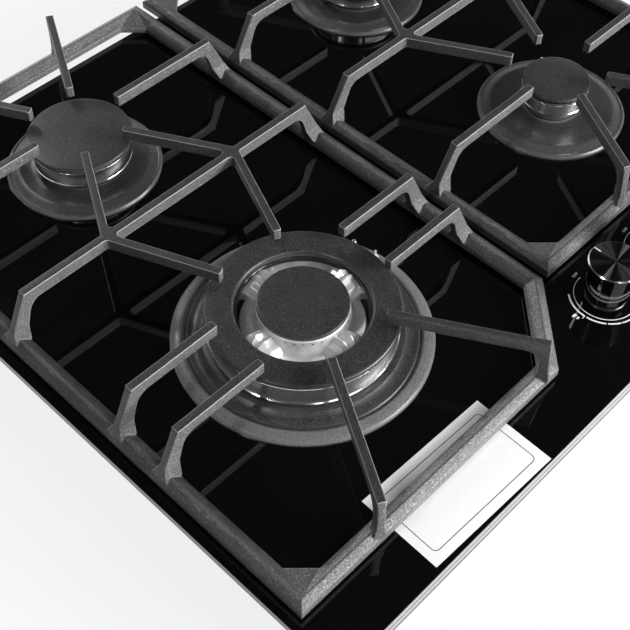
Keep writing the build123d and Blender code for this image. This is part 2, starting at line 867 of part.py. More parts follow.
def wok_inner_crown():
    """The small crown in the middle, open upwards under its cap."""
    inside = wok_crown_r - wok_crown_wall
    floor = wok_crown_bottom + spreader_floor
    return turned([
        (wok_crown_foot_r, wok_crown_bottom), (wok_crown_foot_r, floor),
        (wok_crown_r, wok_crown_top - wok_crown_band), (wok_crown_r, wok_crown_top - edge_break),
        (wok_crown_r - edge_break, wok_crown_top), (inside, wok_crown_top), (inside, floor),
        (spreader_throat_r, floor), (spreader_throat_r, wok_crown_bottom),
    ])


def wok_bridge(degrees):
    """A bridge between the two crowns with its lighting channel in the top."""
    middle = (wok_crown_r + wok_inner_wall_r) / 2
    gap = wok_inner_wall_r - wok_crown_r
    height = wok_bridge_top - wok_bridge_bottom
    body = Pos(middle, 0, wok_bridge_bottom + height / 2)
    body = body * Box(gap + 2 * wok_bridge_overlap, wok_bridge_width, height)
    channel = Pos(middle, 0, wok_bridge_top - wok_bridge_channel_depth / 2)
    channel = channel * Box(gap, wok_bridge_channel, wok_bridge_channel_depth)
    return Rot(0, 0, degrees) * (body - channel)


def wok_crown_holes():
    """Small round ports in the inner crown, a row in each quarter between the bridges."""
    holes = []
    quarter = 360.0 / wok_bridge_count
    level = wok_crown_top - wok_crown_port_drop
    for bridge in range(wok_bridge_count):
        for k in range(wok_crown_ports):
            turn = (k - (wok_crown_ports - 1) / 2) * wok_crown_port_step
            place = Rot(0, 0, quarter * (bridge + 0.5) + turn) * Pos(wok_crown_r, 0, level) * Rot(0, 90, 0)
            holes.append(place * Cylinder(wok_crown_port_r, 3 * wok_crown_wall))
    return Compound(holes)


def wok_flame_spreader():
    """Outer and inner crown in one casting, joined by the bridges."""
    body = wok_ring_crown() + wok_inner_crown()
    for k in range(wok_bridge_count):
        body += wok_bridge(360.0 * k / wok_bridge_count)
    body = at(wok, body - wok_crown_holes())
    low = wok_ring_cap_seat - wok_port_depth
    return body - ports_ring(wok, wok.band_r, low, wok_port_depth, wok.ports) - notch(wok)


def wok_ring_cap():
    top = wok_ring_cap_seat + wok_ring_cap_thickness
    lid = revolve(cap_section(wok.cap_r, wok_ring_cap_seat, top, wok_ring_cap_hole_r), Axis.Z)
    return at(wok, lid + cap_lip(wok.band_r - spreader_wall - spreader_clearance, wok_ring_cap_seat))


def wok_centre_cap():
    top = wok_crown_top + wok_ring_cap_thickness
    lid = revolve(cap_section(wok_centre_cap_r, wok_crown_top, top), Axis.Z)
    return at(wok, lid + cap_lip(wok_crown_r - wok_crown_wall - spreader_clearance, wok_crown_top))


def spark_electrode(b):
    """Ceramic body with a metal pin, held under the cup's flange by its collar."""
    x, y = b.electrode
    flange_low = cup_flange_top - cup_flange_thickness
    ceramic_top = b.stud_tip - electrode_ceramic_drop
    body = rod(electrode_r, electrode_bottom, ceramic_top, x, y)
    body += rod(stud_collar_r, flange_low - stud_collar_height, flange_low, x, y)
    return body + rod(electrode_pin_r, ceramic_top, b.stud_tip, x, y)


def thermocouple(b):
    """A round-nosed probe, held under the cup's flange by its collar."""
    x, y = b.probe
    flange_low = cup_flange_top - cup_flange_thickness
    tip = b.stud_tip - probe_drop
    body = rod(probe_r, probe_bottom, tip, x, y)
    body = fillet(body.edges().sort_by(Axis.Z)[-1], probe_round)
    return body + rod(stud_collar_r, flange_low - stud_collar_height, flange_low, x, y)


# ---------------------------------------------------------------- straps and screws
def strap_rows():
    """The burners carried by each strap, with the strap's depth range."""
    rows = []
    for row in ([wok, simmer], [rear_left, rear_right]):
        ys = [b.y for b in row]
        rows.append((row, min(ys) - strap_margin, max(ys) + strap_margin))
    return rows


def cup_screw_places(b):
    return [(b.x - cup_screw_offset, b.y), (b.x + cup_screw_offset, b.y)]


def tray_screw_places():
    places = []
    for _, low_y, high_y in strap_rows():
        for side in (-1, 1):
            x = side * (strap_half_length + strap_foot / 2)
            places += [(x, low_y + tray_screw_inset), (x, high_y - tray_screw_inset)]
    return places


def upright_wall(width, low_y, high_y, top):
    """A wall of a strap's depth that stands on the tray's floor."""
    return block(-width / 2, width / 2, low_y, high_y, tray_floor, top)


def burner_straps():
    """Two steel straps across the tray, on feet, that carry the burner cups."""
    straps = []
    foot_top = tray_floor + strap_thickness
    for row, low_y, high_y in strap_rows():
        low = strap_top - strap_thickness
        strap = block(-strap_half_length, strap_half_length, low_y, high_y, low, strap_top)
        for side in (-1, 1):
            web = Pos(side * (strap_half_length - strap_thickness / 2), 0, 0)
            strap += web * upright_wall(strap_thickness, low_y, high_y, strap_top)
            foot = Pos(side * (strap_half_length + (strap_foot - strap_thickness) / 2), 0, 0)
            strap += foot * upright_wall(strap_foot + strap_thickness, low_y, high_y, foot_top)
        for b in row:
            strap -= rod(cup_boss_r + screw_clearance, low, strap_top, b.x, b.y)
            for x, y in cup_screw_places(b):
                strap -= rod(m3_screw_r + screw_clearance, low, strap_top, x, y)
            for x, y in (b.electrode, b.probe):
                strap -= rod(stud_collar_r, low, strap_top, x, y)
        for x, y in tray_screw_places():
            strap -= rod(tray_screw_r + screw_clearance, tray_floor, foot_top, x, y)
        straps.append(strap)
    return group(straps)


def m3_screws():
    """The small screws: two up into each burner cup, two down into each tap."""
    screws = []
    low = strap_top - strap_thickness
    for b in burners:
        for x, y in cup_screw_places(b):
            head = rod(m3_head_r, low - m3_head, low, x, y)
            screws.append(head + rod(m3_screw_r, low, cup_floor + cup_screw_depth, x, y))
    for x in knobs_x:
        for side in (-1, 1):
            y = knob_y + side * bonnet_screw_y
            head = rod(m3_head_r, bonnet_top, bonnet_top + m3_head, x, y)
            screws.append(head + rod(m3_screw_r, tap_top - bonnet_screw_depth, bonnet_top, x, y))
    return group(screws)


def tray_screws():
    screws = []
    seat = tray_floor + strap_thickness
    for x, y in tray_screw_places():
        head = rod(tray_screw_head_r, seat, seat + tray_screw_head, x, y)
        screws.append(head + rod(tray_screw_r, tray_bottom, seat, x, y))
    return group(screws)


# ---------------------------------------------------------------- taps and knobs
def tap_body(x):
    """The tap: a block on the gas rail with an upright bore and a rear outlet."""
    front = knob_y - tap_depth / 2
    back = knob_y + tap_depth / 2
    body = block(x - tap_width / 2, x + tap_width / 2, front, back, tap_bottom, tap_top)
    body += block(
        x - tap_width / 2, x + tap_width / 2, rail_pipe_y, front,
        pipe_level - rail_pipe_r, pipe_level + rail_pipe_r,
    )
    saddle = Pos(x, rail_pipe_y, pipe_level) * Rot(0, 90, 0)
    body -= saddle * Cylinder(rail_pipe_r + pipe_clearance, tap_width)
    body -= rod(tap_bore_r, cone_bottom - end_gap, tap_top, x, knob_y)
    outlet = Pos(x, (knob_y + back) / 2, pipe_level) * Rot(90, 0, 0)
    body -= outlet * Cylinder(pipe_r + pipe_clearance, back - knob_y)
    inlet = Pos(x, (front + knob_y) / 2, pipe_level) * Rot(90, 0, 0)
    body -= inlet * Cylinder(cone_port_r, knob_y - front + tap_width / 4)
    hole_end = tap_top - bonnet_screw_depth - end_gap
    for side in (-1, 1):
        y = knob_y + side * bonnet_screw_y
        body -= rod(m3_screw_r + screw_clearance, hole_end, tap_top, x, y)
    return body


def tap_bonnet(x):
    plate = block(
        x - tap_width / 2, x + tap_width / 2, knob_y - tap_depth / 2, knob_y + tap_depth / 2,
        tap_top, bonnet_top,
    )
    plate -= rod(spindle_r + running_gap, tap_top, bonnet_top, x, knob_y)
    for side in (-1, 1):
        y = knob_y + side * bonnet_screw_y
        plate -= rod(m3_screw_r + screw_clearance, tap_top, bonnet_top, x, y)
    return plate


def flatted(radius, flat, low, high):
    """An upright shaft with one flat towards +Y."""
    shaft = rod(radius, low, high)
    return shaft - block(-radius, radius, flat, radius, low, high)


def tap_cone(x):
    """The turning plug, with a flatted socket for the spindle and a cross port."""
    cone = rod(cone_r, cone_bottom, cone_top)
    socket_r = spindle_tongue_r + running_gap
    cone -= flatted(socket_r, spindle_tongue_flat + running_gap, cone_socket_bottom, cone_top)
    cone -= Pos(0, 0, pipe_level) * Rot(0, 90, 0) * Cylinder(cone_port_r, 3 * cone_r)
    return Pos(x, knob_y, 0) * cone


def tap_spindle(x):
    """The spindle: tongue in the cone, collar on the spring, flatted top in the knob."""
    shaft = flatted(spindle_tongue_r, spindle_tongue_flat, spindle_bottom, collar_bottom)
    shaft += rod(spindle_collar_r, collar_bottom, collar_top)
    shaft += rod(spindle_r, collar_top, knob_bottom)
    shaft += flatted(spindle_r, spindle_flat, knob_bottom, spindle_top)
    return Pos(x, knob_y, 0) * shaft


def spindle_spring(x):
    outside = rod(spring_outer_r, cone_top, collar_bottom, x, knob_y)
    return outside - rod(spring_inner_r, cone_top, collar_bottom, x, knob_y)


def knob(x):
    """A tapered knob, hollow below, with a boss that grips the flatted spindle."""
    outside = turned([
        (0, knob_bottom), (knob_bottom_r, knob_bottom), (knob_top_r, knob_top - knob_chamfer),
        (knob_top_r - knob_chamfer, knob_top), (0, knob_top),
    ])
    hollow = turned([
        (knob_boss_r, knob_bottom), (knob_bottom_r - knob_wall, knob_bottom),
        (knob_bottom_r - knob_wall, knob_hollow_top), (knob_boss_r, knob_hollow_top),
    ])
    socket = flatted(spindle_r + running_gap, spindle_flat + running_gap, knob_bottom, spindle_top)
    return Pos(x, knob_y, 0) * (outside - hollow - socket)


def knob_bezel(x):
    """A rubber ring on the glass with a sleeve through the spindle's hole."""
    low = glass_bottom - seal_thickness / 2
    ring = turned([
        (bezel_hole_r, low), (bezel_sleeve_r, low), (bezel_sleeve_r, 0), (bezel_r, 0),
        (bezel_r, bezel_height / 2), (bezel_r - bezel_height / 2, bezel_height),
        (bezel_hole_r, bezel_height),
    ])
    return Pos(x, knob_y, 0) * ring


def ignition_switch(x):
    """A small switch on the bonnet beside the spindle."""
    low_x = x + spindle_r + switch_gap
    half = switch_length / 2
    high = bonnet_top + switch_height
    return block(low_x, low_x + switch_width, knob_y - half, knob_y + half, bonnet_top, high)


# ---------------------------------------------------------------- gas pipes
def gas_rail():
    """The manifold: along the taps, round the corner and through the recess's wall."""
    end_y = recess_y + rail_pipe_end
    points = [
        (rail_pipe_left, rail_pipe_y, pipe_level), (rail_pipe_right_x, rail_pipe_y, pipe_level),
        (rail_pipe_right_x, end_y, pipe_level),
    ]
    pipe = tube(points, rail_pipe_r, rail_pipe_bend, rail_pipe_bore_r)
    wall = rail_pipe_r - rail_pipe_bore_r
    plug = Pos(rail_pipe_left + wall / 2, rail_pipe_y, pipe_level) * Rot(0, 90, 0)
    pipe += plug * Cylinder(rail_pipe_r, wall)
    for x in knobs_x:
        port = Pos(x, rail_pipe_y + rail_pipe_r, pipe_level) * Rot(90, 0, 0)
        pipe -= port * Cylinder(cone_port_r, 2 * rail_pipe_r)
    return pipe


def gas_inlet_elbow():
    """The elbow on the rail's end, its threaded tail pointing down inside the recess."""
    start = recess_y + sheet
    x = rail_pipe_right_x
    tail_low = tray_bottom + elbow_bottom_gap
    tail_y = start + elbow_reach
    body = Pos(x, start + elbow_reach / 2, pipe_level) * Rot(90, 0, 0) * Cylinder(elbow_r, elbow_reach)
    body += rod(elbow_r, tail_low, pipe_level + elbow_top, x, tail_y)
    body += rod(elbow_thread_r, tail_low, tail_low + elbow_thread_length, x, tail_y)
    socket_end = recess_y + rail_pipe_end
    socket = Pos(x, (start + socket_end) / 2, pipe_level) * Rot(90, 0, 0)
    body -= socket * Cylinder(rail_pipe_r + pipe_clearance, socket_end - start)
    passage = Pos(x, (socket_end + tail_y) / 2, pipe_level) * Rot(90, 0, 0)
    body -= passage * Cylinder(elbow_bore_r, tail_y - socket_end)
    return body - rod(elbow_bore_r, tail_low, pipe_level, x, tail_y)


def feed_routes():
    """Tap to burner, each pipe running along the tray's floor."""
    outlet_y = knob_y + tap_depth / 2 - pipe_socket
    routes = []
    for x, b, (front_lane, side_lane) in zip(knobs_x, burners, feed_lanes):
        points = [(x, outlet_y), (x, front_lane)]
        if side_lane is None:
            points += [(b.x, front_lane)]
        else:
            rear_lane = b.y - rear_lane_offset
            points += [(side_lane, front_lane), (side_lane, rear_lane), (b.x, rear_lane)]
        points += [(b.x, b.y - cup_boss_r + boss_pipe_depth)]
        routes.append([(px, py, pipe_level) for px, py in points])
    return routes


def feed_pipes():
    return group([tube(route, pipe_r, pipe_bend, pipe_bore_r) for route in feed_routes()])


# ---------------------------------------------------------------- ignition and leads
def ignition_module():
    half_x = module_width / 2
    half_y = module_depth / 2
    box = block(
        module_x - half_x, module_x + half_x, module_y - half_y, module_y + half_y,
        tray_floor, module_top,
    )
    return fillet(box.edges().filter_by(Axis.Z), module_round)


def ignition_leads():
    """High-tension leads from the module to the four electrodes."""
    front = module_y - module_depth / 2
    left = module_x - module_width / 2
    right = module_x + module_width / 2
    leads = []
    for b, entry_x in ((wok, module_x - lead_entry), (simmer, module_x + lead_entry)):
        x, y = b.electrode
        points = [(x, y, electrode_bottom), (x, y, lead_level), (entry_x, y, lead_level)]
        leads.append(tube(points + [(entry_x, front, lead_level)], lead_r, lead_bend))
    for b, entry_x in ((rear_left, left), (rear_right, right)):
        x, y = b.electrode
        points = [(x, y, electrode_bottom), (x, y, lead_level), (entry_x, y, lead_level)]
        leads.append(tube(points, lead_r, lead_bend))
    return group(leads)


def thermocouple_leads():
    """Leads from the thermocouples to the taps' magnet units."""
    end_y = knob_y + tap_depth / 2
    leads = []
    for x, b, (front_lane, side_lane) in zip(knobs_x, burners, probe_lanes):
        px, py = b.probe
        tap_x = x + magnet_offset
        points = [(px, py, probe_bottom), (px, py, probe_lead_level)]
        if side_lane is not None:
            points += [(side_lane, py, probe_lead_level), (side_lane, front_lane, probe_lead_level)]
        elif front_lane is not None:
            points += [(px, front_lane, probe_lead_level)]
        last_y = front_lane if front_lane is not None else py
        points += [(tap_x, last_y, probe_lead_level), (tap_x, end_y, probe_lead_level)]
        leads.append(tube(points, probe_lead_r, probe_lead_bend))
    return group(leads)


def terminal_block():
    half_x = terminal_width / 2
    half_y = terminal_depth / 2
    return block(
        terminal_x - half_x, terminal_x + half_x, terminal_y - half_y, terminal_y + half_y,
        tray_floor, tray_floor + terminal_height,
    )


def cable_gland():
    """The bare gland for the mains lead in the recess's front wall, with its nut inside."""
    axis = Pos(gland_x, recess_y, gland_level) * Rot(-90, 0, 0)
    body = axis * Pos(0, 0, (gland_outer - gland_inner) / 2)
    gland = body * Cylinder(gland_r, gland_outer + gland_inner)
    nut = axis * Pos(0, 0, -sheet - gland_nut / 2) * Cylinder(gland_nut_r, gland_nut)
    head = axis * Pos(0, 0, gland_nut / 2) * Cylinder(gland_nut_r, gland_nut)
    return gland + nut + head - axis * Cylinder(gland_bore_r, 4 * gland_outer)


def blank_label():
    plate = Box(label_width, label_depth, label_thickness)
    return Pos(label_x, label_y, label_thickness / 2) * Rot(0, 0, label_turn) * plate


# ---------------------------------------------------------------- everything
def save_all():
    save("glass_top", glass_top())
    save("worktop_seal", worktop_seal())
    save("bottom_tray", bottom_tray())
    save("left_pan_support", left_pan_support())
    save("right_pan_support", right_pan_support())
    save("left_support_feet", rubber_feet(left_foot_places()))
    save("right_support_feet", rubber_feet(right_foot_places()))
    for b in burners:
        save(f"{b.name}_spill_ring", spill_ring(b))
        save(f"{b.name}_cup", burner_cup(b))
    for b in plain_burners:
        save(f"{b.name}_flame_spreader", flame_spreader(b))
        save(f"{b.name}_cap", burner_cap(b))
    save("wok_flame_spreader", wok_flame_spreader())
    save("wok_ring_cap", wok_ring_cap())
    save("wok_centre_cap", wok_centre_cap())
    save("burner_gaskets", group(burner_gasket(b) for b in burners))
    save("injectors", group(injector(b) for b in burners))
    save("spark_electrodes", group(spark_electrode(b) for b in burners))
    save("thermocouples", group(thermocouple(b) for b in burners))
    save("burner_straps", burner_straps())
    save("m3_screws", m3_screws())
    save("tray_screws", tray_screws())
    save("gas_taps", group(tap_body(x) for x in knobs_x))
    save("tap_bonnets", group(tap_bonnet(x) for x in knobs_x))
    for k, x in enumerate(knobs_x, 1):
        save(f"tap_cone_{k}", tap_cone(x))
        save(f"tap_spindle_{k}", tap_spindle(x))
        save(f"spindle_spring_{k}", spindle_spring(x))
        save(f"knob_{k}", knob(x))
    save("knob_bezels", group(knob_bezel(x) for x in knobs_x))
    save("ignition_switches", group(ignition_switch(x) for x in knobs_x))
    save("gas_rail", gas_rail())
    save("gas_inlet_elbow", gas_inlet_elbow())
    save("feed_pipes", feed_pipes())
    save("ignition_module", ignition_module())
    save("ignition_leads", ignition_leads())
    save("thermocouple_leads", thermocouple_leads())
    save("terminal_block", terminal_block())
    save("cable_gland", cable_gland())
    save("blank_label", blank_label())


if __name__ == "__main__":
    os.makedirs("parts", exist_ok=True)
    save_all()
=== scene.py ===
import json
import math
from collections import namedtuple

import bmesh
import bpy
from bpy.props import FloatProperty, FloatVectorProperty, PointerProperty
from mathutils import Matrix, Vector


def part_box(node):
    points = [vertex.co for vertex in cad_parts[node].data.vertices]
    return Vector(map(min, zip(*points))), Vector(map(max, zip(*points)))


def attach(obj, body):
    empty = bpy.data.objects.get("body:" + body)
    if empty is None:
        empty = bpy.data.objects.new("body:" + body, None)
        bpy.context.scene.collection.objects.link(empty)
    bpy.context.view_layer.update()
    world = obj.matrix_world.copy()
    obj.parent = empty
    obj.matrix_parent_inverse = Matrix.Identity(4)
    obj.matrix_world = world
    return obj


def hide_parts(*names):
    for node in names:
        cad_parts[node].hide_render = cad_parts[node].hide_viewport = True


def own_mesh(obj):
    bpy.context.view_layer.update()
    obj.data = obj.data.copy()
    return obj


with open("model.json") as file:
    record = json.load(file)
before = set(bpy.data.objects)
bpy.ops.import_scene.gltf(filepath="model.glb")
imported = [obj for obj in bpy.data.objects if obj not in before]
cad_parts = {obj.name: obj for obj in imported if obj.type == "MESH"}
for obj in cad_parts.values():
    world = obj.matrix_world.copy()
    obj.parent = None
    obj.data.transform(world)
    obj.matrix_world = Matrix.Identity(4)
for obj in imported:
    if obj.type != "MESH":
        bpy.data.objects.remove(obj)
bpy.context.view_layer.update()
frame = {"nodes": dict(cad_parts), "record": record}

bl_info = {
    "name": "Gas Cooktop Finish",
    "version": (1, 0, 0),
    "blender": (4, 5, 0),
    "location": "View3D > Sidebar > Cooktop",
    "description": "Finishes, knobs, burner fittings and printed scales of a built-in gas cooktop",
    "category": "Object",
}

MM = 0.001
# The height of the glass's top face.
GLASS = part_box("glass_top")[1].z
KNOBS = (1, 2, 3, 4)
PLAIN_BURNERS = ("rear_left", "rear_right", "simmer")

# Sizes in millimetres, heights above the glass. A burner has the radii of its neck and of its
# bright band, the height of the band's lower edge, the radii of its cap and its spill ring, the
# radius and angle of each stud, the inner and outer radius of the ring's crest and the tone of
# the painted light that makes the ring paler outside it, and the number of its ports.
Burner = namedtuple("Burner", "neck band low cap ring electrode probe crest ports")
REAR = Burner(30.0, 36.4, 13.3, 38.4, 57.5, (47.0, 50.0), (46.0, 65.0), (46.0, 49.45, 0.07), 40)
BURNERS = {
    "wok": Burner(
        50.0, 63.0, 9.5, 64.9, 87.9, (72.0, 1.7), (73.2, 16.0), (78.0, 79.5, 0.20), 60,
    ),
    "rear_left": REAR,
    "rear_right": REAR,
    "simmer": Burner(
        20.0, 25.2, 15.5, 25.9, 57.3, (41.0, 50.0), (33.0, 40.0), (45.84, 49.278, 0.07), 28,
    ),
}
# The heights of the caps' seat and top, the centre cap's radius, seat and top, the angle of the
# notch in a bright band, and the width and depth of a port.
CAP_SEAT, CAP_TOP = 28.0, 31.5
CENTRE_CAP = (30.4, 31.1, 35.1)
BAND_NOTCH = 205.0
PORT_WIDTH, PORT_REACH = 1.4, 15.0

# Outlines of the wok burner's crown, as (radius, height).
WOK_OUTER_CROWN = (
    (43.5, 5.0), (46.6, 5.0), (46.6, 10.0), (50.0, 10.0), (57.0, 9.2), (63.6, 9.2), (64.0, 9.6),
    (64.0, 10.4), (63.2, 10.9), (63.0, 11.4), (63.0, 24.4), (63.4, 24.9), (63.6, 25.5),
    (63.2, 26.0), (62.2, 26.2), (62.2, 27.5), (58.0, 27.5), (58.0, 13.0), (46.5, 13.0),
    (46.5, 26.9), (46.1, 27.5), (43.9, 27.5), (43.5, 27.1),
)
WOK_INNER_CROWN = (
    (10.0, 14.0), (42.0, 14.0), (41.0, 16.0), (35.4, 18.2), (32.4, 21.6), (31.1, 26.0),
    (30.8, 30.6), (30.2, 31.1), (26.8, 31.1), (26.8, 17.0), (10.0, 17.0),
)
# Sections of a lug from the middle outwards: the radius, the height of the valley along its
# middle, then half its outline as (distance to the side, height).
WOK_LUG = (
    (28.8, 25.4, (13.5, 13.0), (13.0, 19.0), (9.0, 23.2), (5.4, 24.2), (3.0, 27.6)),
    (38.6, 26.8, (14.5, 13.0), (14.2, 20.2), (10.2, 25.6), (5.8, 26.6), (3.7, 31.0)),
    (43.3, 25.6, (14.5, 13.0), (14.2, 18.6), (10.0, 23.6), (5.2, 24.6), (2.8, 27.4)),
)

# The knobs: heights of the foot, of the hollow's roof, of the bore's end and of the top, and
# radii of the bore, the boss and the hollow.
KNOB_FOOT, KNOB_HOLLOW, KNOB_BORE_END, KNOB_TOP = 5.5, 22.0, 30.0, 35.0
KNOB_BORE, KNOB_BOSS, KNOB_CAVITY = 4.0, 7.0, 13.0

# The prints on the glass: thickness of the ink, and radii of the inner and outer edge of the
# second scale ring and of its end tick.
INK = 0.04
SCALE_INNER, SCALE_OUTER, SCALE_TICK = 24.6, 25.8, 27.8


def middle(node):
    """The middle of a CAD node in plan, at the glass's top."""
    low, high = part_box(node)
    return Vector(((low.x + high.x) / 2, (low.y + high.y) / 2, GLASS))


# ------------------------------------------------------------------ shader writing
class Reading:
    """A socket whose value takes arithmetic, which adds Math nodes."""

    def __init__(self, finish, socket):
        self.finish = finish
        self.socket = socket

    def out(self, name):
        """Another output of the same node."""
        return Reading(self.finish, self.socket.node.outputs[name])

    def math(self, operation, *others):
        inputs = dict(enumerate((self, *others)))
        return self.finish.node("ShaderNodeMath", {"operation": operation}, inputs)

    def flipped(self, operation, other):
        return self.finish.node("ShaderNodeMath", {"operation": operation}, {0: other, 1: self})

    def __add__(self, other):
        return self.math("ADD", other)

    def __sub__(self, other):
        return self.math("SUBTRACT", other)

    def __mul__(self, other):
        return self.math("MULTIPLY", other)

    def __truediv__(self, other):
        return self.math("DIVIDE", other)

    def __pow__(self, other):
        return self.math("POWER", other)

    def __gt__(self, other):
        return self.math("GREATER_THAN", other)

    def __lt__(self, other):
        return self.math("LESS_THAN", other)

    def __rsub__(self, other):
        return self.flipped("SUBTRACT", other)

    def __rtruediv__(self, other):
        return self.flipped("DIVIDE", other)

    __radd__ = __add__
    __rmul__ = __mul__

    def abs(self):
        return self.math("ABSOLUTE")

    def max(self, other):
        return self.math("MAXIMUM", other)

    def min(self, other):
        return self.math("MINIMUM", other)

    def step(self, low, high):
        """Rises smoothly from 0 to 1 between two values."""
        settings = {"interpolation_type": "SMOOTHSTEP"}
        inputs = {"Value": self, "From Min": low, "From Max": high}
        return self.finish.node("ShaderNodeMapRange", settings, inputs)


class Finish:
    """One material, built from a Principled shader."""

    def __init__(self, name, **sockets):
        self.material = bpy.data.materials.new(name)
        self.material.use_nodes = True
        self.tree = self.material.node_tree
        self.tree.nodes.clear()
        self.output = self.tree.nodes.new("ShaderNodeOutputMaterial")
        self.shader = self.tree.nodes.new("ShaderNodeBsdfPrincipled")
        self.tree.links.new(self.shader.outputs[0], self.output.inputs[0])
        self.place = self.node("ShaderNodeTexCoord", {}, {}).out("Object")
        for socket, value in sockets.items():
            self.set(socket.replace("_", " "), value)

    def feed(self, socket, value):
        """Links a reading to a socket, or writes a plain value or colour into it."""
        if isinstance(value, Reading):
            self.tree.links.new(value.socket, socket)
        elif isinstance(value, tuple) and len(value) == 3 and socket.type == "RGBA":
            socket.default_value = (*value, 1.0)
        else:
            socket.default_value = value

    def set(self, name, value):
        self.feed(self.shader.inputs[name], value)
        return self

    def node(self, kind, settings, inputs):
        """A node of one kind, with its settings and what its sockets get."""
        node = self.tree.nodes.new(kind)
        for name, value in settings.items():
            setattr(node, name, value)
        for name, value in inputs.items():
            self.feed(node.inputs[name], value)
        result = next(socket for socket in node.outputs if socket.enabled)
        return Reading(self, result)

    def about(self, centre, turn=0.0):
        """Object coordinates moved so that a centre is their origin."""
        settings = {"vector_type": "TEXTURE"}
        inputs = {"Vector": self.place, "Location": tuple(centre), "Rotation": (0.0, 0.0, turn)}
        return self.node("ShaderNodeMapping", settings, inputs)

    def parts(self, vector):
        split = self.node("ShaderNodeSeparateXYZ", {}, {0: vector})
        return split.out("X"), split.out("Y"), split.out("Z")

    def radius(self, vector):
        x, y = self.parts(vector)[:2]
        return (x * x + y * y) ** 0.5

    def noise(self, scale, detail=3.0, roughness=0.55, vector=None):
        inputs = {"Scale": scale, "Detail": detail, "Roughness": roughness}
        inputs["Vector"] = vector or self.place
        return self.node("ShaderNodeTexNoise", {}, inputs)

    def lines(self, distance, pitch):
        """Fine lines along a distance, as a turning tool leaves them."""
        inputs = {"W": distance * (1.0 / pitch), "Scale": 1.0, "Detail": 2.0}
        return self.node("ShaderNodeTexNoise", {"noise_dimensions": "1D"}, inputs)

    def stretched(self, x, y, z):
        inputs = {"Vector": self.place, "Scale": (x, y, z)}
        return self.node("ShaderNodeMapping", {}, inputs)

    def mix(self, factor, first, second):
        settings = {"data_type": "RGBA"}
        return self.node("ShaderNodeMix", settings, {0: factor, 6: first, 7: second})

    def lightened(self, share):
        """Mixes plain white in for the rays that show a background."""
        path = self.node("ShaderNodeLightPath", {}, {})
        seen = path.out("Is Camera Ray").max(path.out("Is Glossy Ray"))
        seen = seen.max(path.out("Is Transmission Ray"))
        glow = self.node("ShaderNodeEmission", {}, {"Color": grey(1.0), "Strength": 1.0})
        plain = Reading(self, self.shader.outputs[0])
        both = self.node("ShaderNodeMixShader", {}, {0: seen * share, 1: plain, 2: glow})
        self.tree.links.new(both.socket, self.output.inputs[0])
        return self

    def bump(self, height, depth, strength, normal=None):
        """Raises the surface by a reading, over its own normal or a given one."""
        inputs = {"Height": height, "Distance": depth, "Strength": strength}
        if normal:
            inputs["Normal"] = normal
        return self.set("Normal", self.node("ShaderNodeBump", {}, inputs))


def grey(value):
    return (value, value, value)


# ------------------------------------------------------------------ finishes
def black_glass():
    """Printed-back black glass, with faint haze and the ground front edge."""
    f = Finish("black_glass", IOR=1.60)
    haze = f.noise(9.0, 4.0, 0.6)
    dust = f.noise(1500.0, 1.0, 0.5).step(0.74, 0.80)
    y, z = f.parts(f.place)[1:]
    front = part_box("glass_top")[0].y
    ground = (y < front + 2.6 * MM) * (z > GLASS - 2.4 * MM)
    rub = (z - (GLASS - 1.1 * MM)).abs().step(0.05 * MM, 0.45 * MM)
    edge_shade = f.mix(rub, grey(0.07), grey(0.30))
    face_shade = f.mix(dust * 0.08, grey(0.0018), grey(0.08))
    f.set("Base Color", f.mix(ground, face_shade, edge_shade))
    f.set("Roughness", (haze * 0.03 + 0.015).max(ground * 0.5))
    return f.material


def cast_iron():
    """Rough-cast iron under matte enamel. Painted shade darkens tops, ends and slanted faces,
    painted light makes the long flanks and the rails' back-facing slopes paler, and the edges get
    a painted highlight.
    """
    f = Finish("cast_iron", Specular_IOR_Level=0.5)
    z = f.parts(f.place)[2]
    facing = f.node("ShaderNodeNewGeometry", {}, {}).out("Normal")
    rounded = f.node("ShaderNodeBevel", {"samples": 8}, {"Radius": 0.9 * MM})
    turn = f.node("ShaderNodeVectorMath", {"operation": "DOT_PRODUCT"}, {0: rounded, 1: facing})
    # Where the rounded normal turns away from the true one, the edge gets a painted highlight.
    edge = (1.0 - turn.out("Value")).step(0.008, 0.07)
    across, along, up = f.parts(facing)
    top = up.step(0.90, 0.97)
    end = (across.abs() / ((1.0 - up * up).max(0.04) ** 0.5)).step(0.60, 0.95)
    rail = 1.0 - z.step(GLASS + 13.0 * MM, GLASS + 18.0 * MM)
    grain = f.noise(1200.0, 2.0, 0.7)
    lumps = f.noise(380.0, 3.0, 0.6)
    cloud = f.noise(38.0, 3.0, 0.6)
    speck = f.noise(900.0, 1.0, 0.5)
    # Painted light and shade by facing: the flanks paler, the tops and the ends darker.
    flank_painted_light = rail * 0.03 + 0.21
    upper = rail * 0.08 + 0.045
    end_painted_shade = 0.062
    tone = flank_painted_light + (upper - flank_painted_light) * top
    tone = tone + (end_painted_shade - tone) * (end * (1.0 - top))
    # Painted light: rail slopes that face back are made paler.
    rear_slope_painted_light = rail * along.step(0.20, 0.40) * (1.0 - end)
    tone = tone + rear_slope_painted_light * 0.14
    # Painted shade: slanted faces are made darker.
    slant_painted_shade = up.step(0.30, 0.55) * (1.0 - up.step(0.78, 0.86))
    tone = tone * (1.0 - slant_painted_shade * 0.50)
    wear = (1.0 - cloud.step(0.30, 0.75) * 0.20) * (1.0 - grain.step(0.36, 0.66) * 0.60)
    tone = tone * wear * (speck.step(0.55, 0.70) * 1.2 + 1.0)
    # The painted highlight along the edges, weaker on ends and left off the rails.
    f.set("Base Color", f.mix(edge * (1.0 - rail) * (1.0 - end * 0.5), tone, grey(0.70)))
    f.set("Roughness", (grain * 0.22 + 0.30).min(0.9))
    rough = rail * up.step(0.75, 0.85) * 0.9 + 0.2
    return f.bump(grain * 0.35 + lumps * rough, 0.36 * MM, 0.9, rounded).material


